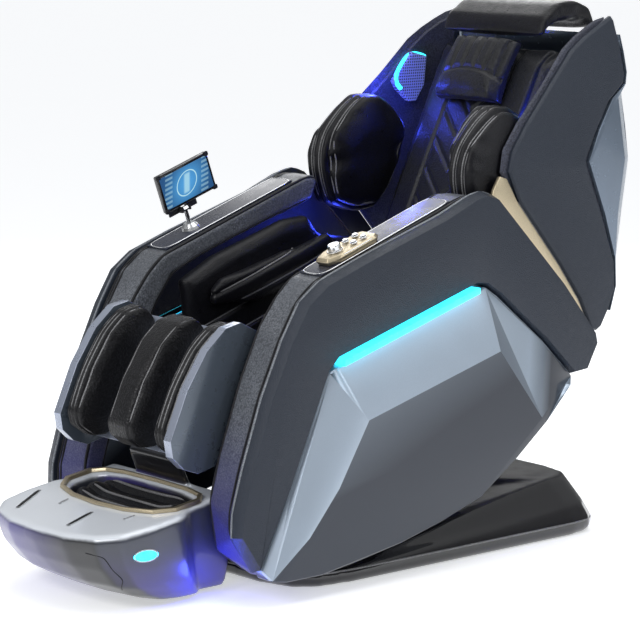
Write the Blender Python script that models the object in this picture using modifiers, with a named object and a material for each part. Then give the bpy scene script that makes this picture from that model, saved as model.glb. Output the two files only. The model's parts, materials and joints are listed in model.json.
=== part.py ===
"""Massage chair: sliding base, tilting seat with faceted side covers, reclining back, leg and foot units.

Metres, +Z up, the sitter faces -Y and the chair's middle plane is X = 0. Outlines of the side view are
drawn on a grid of GRID_LENGTH by GRID_HEIGHT squares over the overall length and height.
"""

import math

import bmesh
import bpy
from mathutils import Matrix, Vector

# Overall sizes
LENGTH = 1.453
WIDTH = 0.73
HEIGHT = 1.19
GRID_LENGTH = 145.3
GRID_HEIGHT = 119.0
GRID_MIDDLE = -0.85

# Clearances
GAP = 0.0003
RUNNING_GAP = 0.003
PIN_GAP = 0.0015

# Layers across the width, from the outside in
COVER_BULGE = 0.028
PANEL_INSET = 0.020
PANEL_THICKNESS = 0.033
ARM_WIDTH = 0.0955
LINER_THICKNESS = 0.042
WING_THICKNESS = 0.012
WING_LINING = 0.013
WING_LEAN = 0.15
WING_LEAN_FROM = 84.0
LEG_GAP = 0.010
LEG_WALL = 0.024

# Axes in the side view
TILT_AXIS = (-3.0, 25.0)
RECLINE_AXIS = (25.0, 38.0)
LEG_AXIS = (-28.5, 46.5)
ACTUATOR_FOOT = (-12.0, 11.5)
FRONT_BEAM = (-20.0, 26.0)
REAR_BEAM = (24.0, 29.0)

# Mechanism
FRAME_INSET = 0.035
FRAME_PLATE = 0.015
PLATE_GAP = 0.002
PIN_RADIUS = 0.011
BEAM_RADIUS = 0.014
RAIL_DEPTH = 0.040
BAR_RADIUS = 0.012
ROD_RADIUS = 0.010
ACTUATOR_RADIUS = 0.021
ACTUATOR_PIN = 0.008
ACTUATOR_EYE_GAP = 0.002
ACTUATOR_BODY_LENGTH = 0.085
ACTUATOR_BORE = 0.055

# Massage unit, measured from the plane that the back pad rests on
PAD_PLANE_LOW = (36.0, 52.0)
PAD_PLANE_HIGH = (64.0, 112.0)
BACK_RUN = 0.6621
PAD_LOW = -0.115
PAD_HIGH = 0.625
CARRIAGE_AT = 0.160
CARRIAGE_LENGTH = 0.120
ROLLER_RADIUS = 0.022
ROLLER_SPREAD = 0.062
ROLLER_DEPTH = 0.040
ARM_PIVOT_DEPTH = 0.052
MASSAGE_ARM_AT = 0.31
MASSAGE_ARM_WIDTH = 0.014
ROLLER_SHARE = 0.21
MASSAGE_ROD = 0.005
ROLLER_PIN = 0.0045

# Controls on the arms
ARM_TOP = ((-23.4, 65.2), (17.4, 79.6))
TOP_PANEL = 0.005
POD_SIZE = (0.060, 0.145, 0.016)
POD_ALONG = 0.125
KNOB_RADIUS = 0.014
KNOB_HEIGHT = 0.016
BUTTON_RADIUS = 0.0065
BUTTON_RISE = 0.004
BUTTON_SHAFT = 0.003
BUTTON_TRAVEL_ROOM = 0.003
TABLET_SIZE = (0.012, 0.150, 0.088)
TABLET_ALONG = 0.122
STEM_LENGTH = 0.048
STEM_RADIUS = 0.005

# Foot unit
RING_HEIGHT = 0.008
WELL_DEPTH = 0.060

HALF = WIDTH / 2
PANEL_OUT = HALF - PANEL_INSET
PANEL_IN = PANEL_OUT - PANEL_THICKNESS
ARM_IN = PANEL_IN - ARM_WIDTH
LINER_IN = ARM_IN - LINER_THICKNESS
WING_OUT = PANEL_IN - RUNNING_GAP
WING_MID = WING_OUT - WING_THICKNESS
WING_IN = WING_MID - WING_LINING
LEG_HALF = ARM_IN - LEG_GAP
FRAME_IN = LINER_IN - FRAME_INSET
FRAME_OUT = FRAME_IN + FRAME_PLATE
LUG_IN = FRAME_OUT + PLATE_GAP
LUG_OUT = LUG_IN + FRAME_PLATE
PIN_END = LUG_OUT + PLATE_GAP


def side(point):
    """(Y, Z) in metres of a point on the side-view grid."""
    return Vector(((point[0] - GRID_MIDDLE) * LENGTH / GRID_LENGTH, point[1] * HEIGHT / GRID_HEIGHT))


def clear_scene():
    for old in list(bpy.data.objects):
        bpy.data.objects.remove(old, do_unlink=True)


def collection(name):
    made = bpy.data.collections.new(name)
    bpy.context.scene.collection.children.link(made)
    return made


clear_scene()
CHAIR = collection("massage_chair")
CUTTERS = collection("cutters")


def material(name, colour, roughness, metallic=0.0):
    made = bpy.data.materials.new(name)
    made.use_nodes = True
    shader = made.node_tree.nodes["Principled BSDF"]
    shader.inputs["Base Color"].default_value = (*colour, 1.0)
    shader.inputs["Roughness"].default_value = roughness
    shader.inputs["Metallic"].default_value = metallic
    return made


SLATE = (0.045, 0.060, 0.080)
SILVER_BLUE = (0.26, 0.33, 0.42)
BLACK = (0.012, 0.012, 0.014)
GREY_LEATHER = (0.085, 0.095, 0.125)
GOLD = (0.62, 0.53, 0.34)
STEEL = (0.42, 0.43, 0.45)
CYAN = (0.10, 0.75, 0.95)


def add(name, data, look=None):
    """A node of the chair, or a cutter when it has no look."""
    made = bpy.data.objects.new(name, data)
    if look is None:
        CUTTERS.objects.link(made)
        made.hide_render = True
        made.display_type = "WIRE"
        return made
    CHAIR.objects.link(made)
    if hasattr(data, "materials"):
        data.materials.append(material(name, *look))
    return made


def axis_empty(name, point, x=0.0):
    made = bpy.data.objects.new(name, None)
    made.empty_display_size = 0.05
    CHAIR.objects.link(made)
    y, z = side(point)
    made.location = (x, y, z)
    return made


def hang(child, parent):
    """Parents the child where it stands, so that its body turns about the parent's place."""
    child.parent = parent
    child.matrix_parent_inverse = Matrix.Translation(parent.location).inverted()


def mesh_object(name, points, faces, look=None):
    data = bpy.data.meshes.new(name)
    data.from_pydata(points, [], faces)
    work = bmesh.new()
    work.from_mesh(data)
    bmesh.ops.recalc_face_normals(work, faces=work.faces)
    work.to_mesh(data)
    work.free()
    return add(name, data, look)


def loft(name, rings, look=None):
    """A closed solid through rings of equal point count, with a flat face on each end."""
    count = len(rings[0])
    points = [p for ring in rings for p in ring]
    faces = [list(range(count)), list(range(len(points) - count, len(points)))]
    for start in range(0, len(points) - count, count):
        for i in range(count):
            j = (i + 1) % count
            faces.append([start + i, start + j, start + count + j, start + count + i])
    return mesh_object(name, points, faces, look)


def ring_at(x, outline):
    return [(x, *side(p)) for p in outline]


def inset(outline, depth):
    """The outline, given anticlockwise, moved inwards by a depth in grid squares."""
    moved = []
    for i, point in enumerate(outline):
        before = (Vector(point) - Vector(outline[i - 1])).normalized()
        after = (Vector(outline[(i + 1) % len(outline)]) - Vector(point)).normalized()
        normal = Vector((-before.y - after.y, before.x + after.x))
        reach = max(normal.length_squared / 2, 0.6)
        moved.append(tuple(Vector(point) + normal * (depth / reach)))
    return moved


def plate(name, outline, inner, outer, look=None, edge=0.0):
    """A flat outline of the side view between two X places, drawn as a filled curve."""
    data = bpy.data.curves.new(name, "CURVE")
    data.dimensions = "2D"
    data.fill_mode = "BOTH"
    data.extrude = abs(outer - inner) / 2
    spline = data.splines.new("POLY")
    spline.points.add(len(outline) - 1)
    for spot, point in zip(spline.points, outline):
        spot.co = (*side(point), 0.0, 1.0)
    spline.use_cyclic_u = True
    made = add(name, data, look)
    made.location = ((inner + outer) / 2, 0.0, 0.0)
    made.rotation_euler = (math.pi / 2, 0.0, math.pi / 2)
    if edge:
        weld = made.modifiers.new("Weld", "WELD")
        weld.merge_threshold = 0.0001
        bevel(made, edge)
    return made


def bevel(made, width, segments=2):
    modifier = made.modifiers.new("Bevel", "BEVEL")
    modifier.width = width
    modifier.segments = segments
    modifier.limit_method = "ANGLE"
    modifier.angle_limit = math.radians(40.0)
    return made


def block(name, low, high, look=None, edge=0.0):
    """A box between two corners in metres."""
    (x0, y0, z0), (x1, y1, z1) = low, high
    base = [(x0, y0, z0), (x1, y0, z0), (x1, y1, z0), (x0, y1, z0)]
    made = loft(name, [base, [(x, y, z1) for x, y, z in base]], look)
    return bevel(made, edge) if edge else made


def tube(name, centre, radius, inner, outer, look=None, bore=0.0, sides=20):
    """A round bar or ring along X, with its axis at a point of the side view in metres."""
    profile = [(inner, radius), (outer, radius), (outer, bore), (inner, bore)]
    points, faces = [], []
    for i in range(sides):
        angle = 2 * math.pi * i / sides
        for x, reach in profile:
            points.append((x, centre[0] + reach * math.cos(angle), centre[1] + reach * math.sin(angle)))
    for i in range(sides):
        j = (i + 1) % sides
        for k in range(4 if bore else 1):
            m = (k + 1) % 4
            faces.append([4 * i + k, 4 * i + m, 4 * j + m, 4 * j + k])
    if not bore:
        points = [p for i, p in enumerate(points) if i % 4 < 2]
        faces = [[2 * i, 2 * i + 1, (2 * i + 3) % (2 * sides), (2 * i + 2) % (2 * sides)] for i in range(sides)]
        faces += [list(range(0, 2 * sides, 2)), list(range(1, 2 * sides, 2))]
    return mesh_object(name, points, faces, look)


def turned(name, profile, look, steps=20):
    """A shape turned about Z from a profile of (radius, height), given down its outer side."""
    data = bpy.data.meshes.new(name)
    edges = [(i, i + 1) for i in range(len(profile) - 1)]
    data.from_pydata([(r, 0.0, z) for r, z in profile], edges, [])
    made = add(name, data, look)
    screw = made.modifiers.new("Screw", "SCREW")
    screw.steps = steps
    screw.render_steps = steps
    screw.use_merge_vertices = True
    screw.merge_threshold = 0.0001
    return made


def join(made, *tools, operation="UNION"):
    for tool in tools:
        modifier = made.modifiers.new(tool.name, "BOOLEAN")
        modifier.solver = "EXACT"
        modifier.operation = operation
        modifier.object = tool
    return made


def cut(made, *tools):
    return join(made, *tools, operation="DIFFERENCE")


def sides():
    return (("left", -1), ("right", 1))


def span(sign, inner, outer):
    """Two X places on one side, lower one first."""
    return tuple(sorted((sign * inner, sign * outer)))


# ---- base ----------------------------------------------------------------------------------------

BASE_PLAN = ((0.0, -30.0), (17.0, -29.5), (25.5, -27.0), (29.3, -22.0), (30.5, -13.0), (30.5, 53.0), (29.8, 58.0),
             (27.0, 61.6), (19.0, 63.2), (0.0, 63.6))
BASE_GRID = 36.5
BASE_TOPS = ((-30.0, 5.0), (-12.0, 6.4), (20.0, 7.2), (33.0, 8.0), (39.0, 12.8), (63.6, 13.4))
POCKET_MARGIN = 0.020
POCKET_ENDS = (-22.0, 33.0)
POCKET_FLOOR = 5.0
RAIL_TOP = 7.5
RAIL_WIDTH = 0.040


def base_top(y):
    """Height of the base cover at a place along its length, in grid squares."""
    for (y0, z0), (y1, z1) in zip(BASE_TOPS, BASE_TOPS[1:]):
        if y <= y1:
            return z0 + (z1 - z0) * (y - y0) / (y1 - y0)
    return BASE_TOPS[-1][1]


def plan_ring(scale, height, ahead=0.0):
    """The base's plan, drawn in by a factor about its middle, at a height that may follow its length."""
    half = [(x * scale, 15.0 + (y - 15.0) * (scale + ahead)) for x, y in BASE_PLAN]
    loop = half + [(-x, y) for x, y in reversed(half[1:-1])]
    across = HALF / BASE_GRID
    return [(x * across, *side((y, height(y)))) for x, y in loop]


def make_base():
    cover = loft("base_cover", [
        plan_ring(0.97, lambda y: 0.0),
        plan_ring(1.0, lambda y: 1.2),
        plan_ring(1.0, lambda y: 3.0),
        plan_ring(0.96, lambda y: 0.40 * base_top(y) + 1.4),
        plan_ring(0.85, base_top, 0.03),
        plan_ring(0.45, base_top, 0.10),
    ], (BLACK, 0.12))
    floor_y, floor_z = side((POCKET_ENDS[0], POCKET_FLOOR))
    end_y, top_z = side((POCKET_ENDS[1], 30.0))
    half = PIN_END + POCKET_MARGIN
    pocket = block("base_pocket", (-half, floor_y, floor_z), (half, end_y, top_z))
    cut(cover, pocket)
    low = floor_z + GAP
    rail_top = side((0.0, RAIL_TOP))[1]
    first = floor_y + 0.005
    last = end_y - 0.005
    reach = FRAME_OUT
    rail_in = reach - RAIL_WIDTH
    frame = block("base_frame", (-reach, first, low), (reach, last, rail_top), (STEEL, 0.35, 0.9))
    third = (last - first) / 2
    for i in range(2):
        start = first + 0.03 + third * i
        hole = block(f"rail_opening_{i}", (-rail_in, start, 0.0), (rail_in, start + third - 0.06, 0.2))
        cut(frame, hole)
    return cover, frame


# ---- carriage and tilt actuator ------------------------------------------------------------------

CARRIAGE_ENDS = (-16.0, 14.0)
CARRIAGE_PLATE = 0.016


def make_carriage():
    low = side((0.0, RAIL_TOP))[1] + GAP
    y0, y1 = (side((y, 0.0))[0] for y in CARRIAGE_ENDS)
    made = block("slide_carriage", (-PIN_END, y0, low), (PIN_END, y1, low + CARRIAGE_PLATE), (BLACK, 0.5))
    cheek = ((-14.0, 8.4), (11.0, 8.4), (1.5, 28.0), (-1.0, 29.5), (-5.0, 29.5), (-7.5, 28.0))
    foot_y, foot_z = side(ACTUATOR_FOOT)
    for name, sign in sides():
        wall = plate(f"carriage_cheek_{name}", cheek, *span(sign, LUG_IN, LUG_OUT))
        join(made, as_mesh(wall))
        ear = block(f"actuator_ear_{name}", (*(sorted((sign * 0.024, sign * 0.034))[:1]), foot_y - 0.016, low),
                    (sorted((sign * 0.024, sign * 0.034))[1], foot_y + 0.016, foot_z + 0.014))
        join(made, ear)
    join(made, tube("actuator_pin", (foot_y, foot_z), ACTUATOR_PIN, -0.030, 0.030))
    for name, sign in sides():
        hole = tube(f"tilt_hole_{name}", side(TILT_AXIS), PIN_RADIUS + PIN_GAP, *span(sign, FRAME_IN, HALF))
        cut(made, hole)
    return made


def as_mesh(made):
    """A curve turned into a closed mesh, which Booleans take."""
    bpy.context.view_layer.update()
    graph = bpy.context.evaluated_depsgraph_get()
    data = bpy.data.meshes.new_from_object(made.evaluated_get(graph))
    work = bmesh.new()
    work.from_mesh(data)
    bmesh.ops.remove_doubles(work, verts=work.verts, dist=0.00001)
    bmesh.ops.recalc_face_normals(work, faces=work.faces)
    work.to_mesh(data)
    work.free()
    name, place = made.name, made.matrix_world.copy()
    bpy.data.objects.remove(made, do_unlink=True)
    solid = add(name, data)
    solid.matrix_world = place
    return solid


def actuator_frame():
    """Matrix whose Z runs from the actuator's foot pin to the front beam."""
    foot, end = side(ACTUATOR_FOOT), side(FRONT_BEAM)
    along = (end - foot).normalized()
    turn = math.atan2(-along.x, along.y)
    return Matrix.Translation((0.0, foot.x, foot.y)) @ Matrix.Rotation(turn, 4, "X"), (end - foot).length


def make_actuator():
    place, reach = actuator_frame()
    eye = ACTUATOR_PIN + PIN_GAP
    body = turned("tilt_actuator_body", [
        (0.0, ACTUATOR_BODY_LENGTH - ACTUATOR_BORE),
        (ROD_RADIUS + PIN_GAP, ACTUATOR_BODY_LENGTH - ACTUATOR_BORE),
        (ROD_RADIUS + PIN_GAP, ACTUATOR_BODY_LENGTH), (ACTUATOR_RADIUS, ACTUATOR_BODY_LENGTH),
        (ACTUATOR_RADIUS, -0.012), (0.0, -0.012)], (BLACK, 0.4))
    body.matrix_world = place
    cut(body, tube("actuator_foot_hole", side(ACTUATOR_FOOT), eye, -0.1, 0.1))
    end = side(FRONT_BEAM)
    hole = BEAM_RADIUS + ACTUATOR_EYE_GAP
    rod = tube("tilt_actuator_rod", end, hole + 0.008, -0.013, 0.013, (STEEL, 0.2, 1.0), bore=hole)
    low = ACTUATOR_BODY_LENGTH - ACTUATOR_BORE + 0.003
    shaft = turned_cutter("actuator_shaft", ROD_RADIUS, low, reach - hole - 0.002)
    shaft.matrix_world = place
    join(rod, shaft)
    return body, rod


def turned_cutter(name, radius, low, high, steps=20):
    ring = [(radius * math.cos(2 * math.pi * i / steps), radius * math.sin(2 * math.pi * i / steps))
            for i in range(steps)]
    return loft(name, [[(x, y, low) for x, y in ring], [(x, y, high) for x, y in ring]])


# ---- seat ----------------------------------------------------------------------------------------

SEAT_PLATE_TOP = 36.0


def make_seat_frame():
    outline = ((-30.6, 45.4), (-30.4, 47.6), (-28.5, 48.8), (-26.2, 47.6), (-22.0, SEAT_PLATE_TOP),
               (20.0, SEAT_PLATE_TOP), (22.5, 39.5), (25.0, 40.4), (27.4, 38.6), (26.5, 30.0), (24.0, 26.4),
               (2.0, 22.5), (-6.0, 22.5), (-21.0, 24.0), (-25.0, 27.5))
    made = None
    for name, sign in sides():
        wall = as_mesh(plate(f"seat_plate_{name}", outline, *span(sign, FRAME_IN, FRAME_OUT)))
        if made is None:
            made = add("seat_frame", wall.data, (STEEL, 0.4, 0.8))
            made.matrix_world = wall.matrix_world
            bpy.data.objects.remove(wall, do_unlink=True)
        else:
            join(made, wall)
    reach = PANEL_IN - GAP
    y0, z0 = side((-21.0, SEAT_PLATE_TOP - 1.2))
    y1, z1 = side((19.0, SEAT_PLATE_TOP))
    join(made, block("seat_pan", (-FRAME_OUT, y0, z0), (FRAME_OUT, y1, z1)))
    join(made, tube("front_beam", side(FRONT_BEAM), BEAM_RADIUS, -reach, reach),
         tube("rear_beam", side(REAR_BEAM), BEAM_RADIUS, -reach, reach))
    for label, axis in (("tilt", TILT_AXIS), ("recline", RECLINE_AXIS), ("leg", LEG_AXIS)):
        for name, sign in sides():
            pin = tube(f"{label}_pin_{name}", side(axis), PIN_RADIUS, *span(sign, FRAME_IN + 0.004, PIN_END))
            join(made, pin)
    return made


def make_seat_cushion():
    outline = ((-18.5, SEAT_PLATE_TOP), (-20.0, 40.0), (-18.0, 45.0), (-6.0, 45.4), (10.0, 44.0), (22.0, 44.2),
               (24.4, 43.0), (24.0, 41.2), (20.5, 39.5), (19.0, SEAT_PLATE_TOP))
    return soft_slab("seat_cushion", lift_floor(reversed(outline), SEAT_PLATE_TOP), -LINER_IN + 0.002, LINER_IN - 0.002,
                     (BLACK, 0.55), corner=0.020)


def lift_floor(outline, floor):
    """The outline with its lowest points raised by the gap, so that it rests clear of what is under it."""
    step = GAP * GRID_HEIGHT / HEIGHT
    return [(y, z + step if z == floor else z) for y, z in outline]


def soft_slab(name, outline, low, high, look, corner=0.012, draw_in=0.8):
    """A padded block: an outline of the side view whose two ends draw in."""
    near, far = sorted((low, high))
    small = inset(outline, draw_in)
    rings = [ring_at(near, small), ring_at(near + corner, outline), ring_at(far - corner, outline),
             ring_at(far, small)]
    return loft(name, rings, look)


# ---- arms ----------------------------------------------------------------------------------------

ARM_EDGE = ((-41.5, 7.1), (-46.8, 15.2), (-46.6, 20.1), (-43.9, 29.1), (-39.0, 42.8), (-33.5, 54.4),
            (-29.0, 61.7), (-23.7, 65.5), (-13.0, 69.3), (9.2, 76.4), (17.8, 80.0), (21.1, 80.7),
            (24.8, 79.5), (45.0, 59.2), (55.2, 47.1), (55.9, 44.3), (52.5, 38.3))
SPLIT_LINE = ((48.0, 37.9), (38.7, 46.8), (25.0, 57.9), (21.1, 60.4), (18.5, 60.7), (-20.1, 49.1),
              (-22.6, 46.6), (-29.4, 31.6), (-33.4, 22.4), (-40.9, 7.6))
LED_DROP = 1.5
LED_PROUD = 0.010
COVER_SEAM = 0.12
PANEL_EDGE = 0.8


def make_side_panel(name, sign):
    outline = list(reversed(ARM_EDGE + SPLIT_LINE))
    inner, outer = PANEL_IN, PANEL_OUT
    rings = [ring_at(sign * inner, outline), ring_at(sign * (inner + 0.008), outline),
             ring_at(sign * outer, inset(outline, PANEL_EDGE))]
    return loft(f"side_panel_{name}", rings, (SLATE, 0.5, 0.2))


def make_lower_cover(name, sign):
    """Faceted cover: a proud middle face with sloping facets up to the split line."""
    top = [(y, z - LED_DROP if i in (4, 5) else z) for i, (y, z) in enumerate(SPLIT_LINE)]
    bottom = [(-39.9, 5.6), (-35.7, 4.8), (-26.4, 4.8), (-15.6, 6.3), (-4.5, 8.2), (6.9, 11.0), (18.5, 14.7),
              (29.4, 22.0), (38.4, 29.0), (45.6, 36.2)]
    outline = inset(top + bottom, COVER_SEAM)
    top, bottom = outline[:len(top)], outline[len(top):]
    crease = ((-14.1, 36.0), (23.3, 46.3), (36.0, 30.2), (-22.2, 22.7), (-30.2, 13.4))
    edge, low = HALF - COVER_BULGE, HALF - 0.005
    points = ring_at(sign * PANEL_IN, outline)
    points += ring_at(sign * edge, top) + ring_at(sign * low, bottom) + ring_at(sign * HALF, crease)
    count = len(outline)
    t = [count + i for i in range(len(top))]
    b = [count + len(top) + i for i in range(len(bottom))]
    f = [2 * count + i for i in range(len(crease))]
    faces = [list(range(count))]
    faces += [[i, (i + 1) % count, count + (i + 1) % count, count + i] for i in range(count)]
    faces += [[t[0], t[1], t[2], t[3], f[1], f[2]], [t[3], t[4], t[5], f[0], f[1]],
              [t[5], t[6], t[7], t[8], t[9], b[0], f[4], f[3], f[0]], [f[2], b[8], b[9], t[0]],
              [f[0], f[1], f[2], *reversed(b[:9]), f[4], f[3]]]
    return bevel(mesh_object(f"lower_cover_{name}", points, faces, (SILVER_BLUE, 0.3, 0.6)), 0.003, 1)


def make_side_led(name, sign):
    ends = (SPLIT_LINE[4], SPLIT_LINE[5])
    (y0, z0), (y1, z1) = ends
    outline = ((y0 - 0.3, z0 - 0.18), (y1 + 0.3, z1 - 0.06), (y1 + 0.3, z1 - LED_DROP + 0.14),
               (y0 - 0.3, z0 - LED_DROP + 0.02))
    return plate(f"side_led_{name}", outline, *span(sign, PANEL_IN, HALF - LED_PROUD), (CYAN, 0.3))


ARM_FACE_OUT = ((-38.6, 5.8), (-45.9, 15.2), (-45.8, 20.0), (-43.1, 29.0), (-38.2, 42.6), (-32.8, 54.0),
                (-28.4, 61.3), ARM_TOP[0], ARM_TOP[1], (21.0, 79.6))
ARM_FACE_IN = ((-34.4, 3.8), (-43.3, 10.4), (-45.0, 20.8), (-42.4, 30.2), (-37.0, 45.0), (-31.7, 56.0),
               (-27.4, 61.6), ARM_TOP[0], ARM_TOP[1], (20.4, 79.6))
ARM_BACK = ((21.0, 78.4), (19.4, 74.4), (8.0, 71.2), (-12.0, 64.6), (-20.8, 60.8), (-25.0, 55.0),
            (-31.0, 43.5), (-37.0, 30.0), (-40.0, 20.0), (-39.0, 14.0), (-31.0, 8.0))


def make_arm_pad(name, sign):
    """Leather wrap over the front and the top of an arm."""
    inner = list(reversed(ARM_FACE_IN + ARM_BACK))
    outer = list(reversed(ARM_FACE_OUT + ARM_BACK))
    low, high = ARM_IN, PANEL_IN - GAP
    rings = [ring_at(sign * low, inset(inner, 0.7)), ring_at(sign * (low + 0.008), inner),
             ring_at(sign * (high - 0.004), outer), ring_at(sign * high, inset(outer, 0.4))]
    return loft(f"arm_pad_{name}", rings, (GREY_LEATHER, 0.55))


def arm_slope():
    """Angle of the arm's top and the point where it starts, in metres."""
    start, end = side(ARM_TOP[0]), side(ARM_TOP[1])
    return math.atan2(end.y - start.y, end.x - start.x), start


def arm_frame(along, x, rise=0.0):
    """Matrix of a place on an arm's top, with Y along its slope and Z square to it."""
    angle, start = arm_slope()
    place = Matrix.Translation((x, start.x, start.y)) @ Matrix.Rotation(angle, 4, "X")
    return place @ Matrix.Translation((0.0, along, rise))


ARM_PANEL_MARGIN = 0.012
ARM_PANEL_ENDS = (0.020, 0.400)


def make_arm_top_panel(name, sign):
    half = (ARM_WIDTH - 2 * ARM_PANEL_MARGIN) / 2
    made = block(f"arm_top_panel_{name}", (-half, ARM_PANEL_ENDS[0], GAP),
                 (half, ARM_PANEL_ENDS[1], GAP + TOP_PANEL), (BLACK, 0.1), edge=0.002)
    made.matrix_world = arm_frame(0.0, sign * (ARM_IN + ARM_WIDTH / 2))
    return made


def make_inner_pad(name, sign):
    outline = list(reversed((
        (-22.0, 31.0), (-20.5, 50.0), (-21.5, 60.5), (-12.0, 65.4), (8.0, 72.0), (15.0, 72.5), (19.0, 68.0),
        (32.5, 65.5), (30.5, 58.0), (25.5, 49.0), (23.0, 41.0), (19.0, 31.0))))
    return soft_slab(f"inner_pad_{name}", outline, sign * LINER_IN, sign * (ARM_IN - GAP), (BLACK, 0.5))


def make_forearm_airbag(name, sign):
    outline = list(reversed((
        (-15.0, 53.5), (-15.5, 57.0), (-12.5, 60.0), (5.0, 65.0), (18.5, 68.0), (21.0, 65.0), (18.0, 59.0),
        (8.0, 55.0), (-2.0, 53.0))))
    return soft_slab(f"forearm_airbag_{name}", outline, sign * (LINER_IN - 0.035), sign * (LINER_IN - GAP),
                     (BLACK, 0.45), corner=0.010)


# ---- arm controls --------------------------------------------------------------------------------

BUTTON_PLACES = ((-0.013, 0.012), (0.013, 0.012), (-0.013, 0.040), (0.013, 0.040))
KNOB_PLACE = -0.030
SHAFT_ROOM = 0.001


def make_controls():
    width, length, thick = POD_SIZE
    centre = arm_frame(POD_ALONG, ARM_IN + ARM_WIDTH / 2 + 0.004, GAP * 2 + TOP_PANEL)
    plan = [(-0.5, -0.30), (-0.30, -0.5), (0.30, -0.5), (0.5, -0.30), (0.5, 0.42), (0.36, 0.5), (-0.36, 0.5),
            (-0.5, 0.42)]
    rings = [[(x * width * f, y * length * f, z) for x, y in plan]
             for z, f in ((0.0, 0.94), (thick * 0.6, 1.0), (thick, 0.92))]
    pod = loft("control_pod", rings, (GOLD, 0.3, 0.9))
    pod.matrix_world = centre
    made = [pod]
    knob = turned("control_knob", [
        (0.0, KNOB_HEIGHT), (KNOB_RADIUS * 0.86, KNOB_HEIGHT), (KNOB_RADIUS, KNOB_HEIGHT * 0.85),
        (KNOB_RADIUS, 0.001), (BUTTON_SHAFT, 0.001), (BUTTON_SHAFT, -0.008), (0.0, -0.008)], (STEEL, 0.15, 1.0))
    knob.matrix_world = centre @ Matrix.Translation((0.0, KNOB_PLACE, thick))
    hole = turned_cutter("knob_hole", BUTTON_SHAFT + SHAFT_ROOM, -0.009, 0.01, 12)
    hole.matrix_world = knob.matrix_world.copy()
    cut(pod, hole)
    made.append(knob)
    for i, (x, y) in enumerate(BUTTON_PLACES):
        low = BUTTON_TRAVEL_ROOM
        button = turned(f"button_{i + 1}", [
            (0.0, low + BUTTON_RISE), (BUTTON_RADIUS * 0.8, low + BUTTON_RISE), (BUTTON_RADIUS, low + 0.001),
            (BUTTON_RADIUS, low), (BUTTON_SHAFT, low), (BUTTON_SHAFT, -0.006), (0.0, -0.006)],
            (STEEL, 0.2, 1.0), steps=12)
        button.matrix_world = centre @ Matrix.Translation((x, y, thick))
        hole = turned_cutter(f"button_hole_{i + 1}", BUTTON_SHAFT + SHAFT_ROOM, -0.010, 0.01, 12)
        hole.matrix_world = button.matrix_world.copy()
        cut(pod, hole)
        made.append(button)
    return made


SOCKET_HEIGHT = 0.014
HOLDER_PLATE = 0.004
TABLET_LIFT = 0.010


def make_tablet():
    """Ball socket, stem, tilting holder and tablet on the left arm."""
    thick, long, tall = TABLET_SIZE
    place = arm_frame(TABLET_ALONG, -(ARM_IN + ARM_WIDTH / 2), GAP * 2 + TOP_PANEL)
    socket = turned("tablet_socket", [
        (0.0, SOCKET_HEIGHT - 0.010), (STEM_RADIUS + SHAFT_ROOM, SOCKET_HEIGHT - 0.010),
        (STEM_RADIUS + SHAFT_ROOM, SOCKET_HEIGHT), (0.012, SOCKET_HEIGHT), (0.019, 0.006), (0.022, 0.0),
        (0.0, 0.0)], (STEEL, 0.15, 1.0))
    socket.matrix_world = place
    stem = turned_cutter("stem", STEM_RADIUS, SOCKET_HEIGHT - 0.008, STEM_LENGTH, 12)
    stem.name = "tablet_stem"
    CUTTERS.objects.unlink(stem)
    CHAIR.objects.link(stem)
    stem.hide_render = False
    stem.display_type = "TEXTURED"
    stem.data.materials.append(material("tablet_stem", STEEL, 0.2, 1.0))
    stem.matrix_world = place
    pin = turned_cutter("tilt_pin", 0.003, -0.014, 0.014, 12)
    pin.matrix_world = place @ Matrix.Translation((0.0, 0.0, STEM_LENGTH)) @ Matrix.Rotation(math.pi / 2, 4, "X")
    head = turned_cutter("stem_head", 0.006, -0.006, 0.006, 12)
    head.matrix_world = pin.matrix_world.copy()
    join(stem, head, pin)
    back = -thick / 2 - GAP
    holder = block("tablet_holder", (back - HOLDER_PLATE, -0.040, STEM_LENGTH - 0.006),
                   (back, 0.040, STEM_LENGTH + 0.060), (BLACK, 0.35))
    for name, sign in sides():
        y0, y1 = span(sign, 0.008, 0.013)
        lug = block(f"holder_lug_{name}", (back - 0.001, y0, STEM_LENGTH - 0.006), (0.006, y1, STEM_LENGTH + 0.007))
        join(holder, lug)
    bore = turned_cutter("holder_bore", 0.004, -0.016, 0.016, 12)
    bore.matrix_world = Matrix.Translation((0.0, 0.0, STEM_LENGTH)) @ Matrix.Rotation(math.pi / 2, 4, "X")
    slot = block("holder_slot", (-0.020, -0.0075, STEM_LENGTH - 0.01), (0.01, 0.0075, STEM_LENGTH + 0.008))
    cut(holder, bore, slot)
    for part in (holder, *(m.object for m in holder.modifiers)):
        part.matrix_world = place @ part.matrix_world
    low = STEM_LENGTH + TABLET_LIFT
    tablet = block("tablet", (-thick / 2, 0.020 - long / 2, low), (thick / 2, 0.020 + long / 2, low + tall),
                   (BLACK, 0.15), edge=0.003)
    tablet.matrix_world = place
    return socket, stem, holder, tablet


# ---- back ----------------------------------------------------------------------------------------

def back_point(along, depth):
    """(Y, Z) in metres of a place along the pad's plane and behind it."""
    low, high = side(PAD_PLANE_LOW), side(PAD_PLANE_HIGH)
    run = (high - low).normalized()
    stretch = (high - low).length / BACK_RUN
    return low + run * along * stretch + Vector((run.y, -run.x)) * depth


def back_slab(name, outline, inner, outer, look=None):
    """An outline of (along, depth) in metres, between two X places."""
    spots = [back_point(*p) for p in outline]
    return loft(name, [[(x, *p) for p in spots] for x in (inner, outer)], look)


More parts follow.
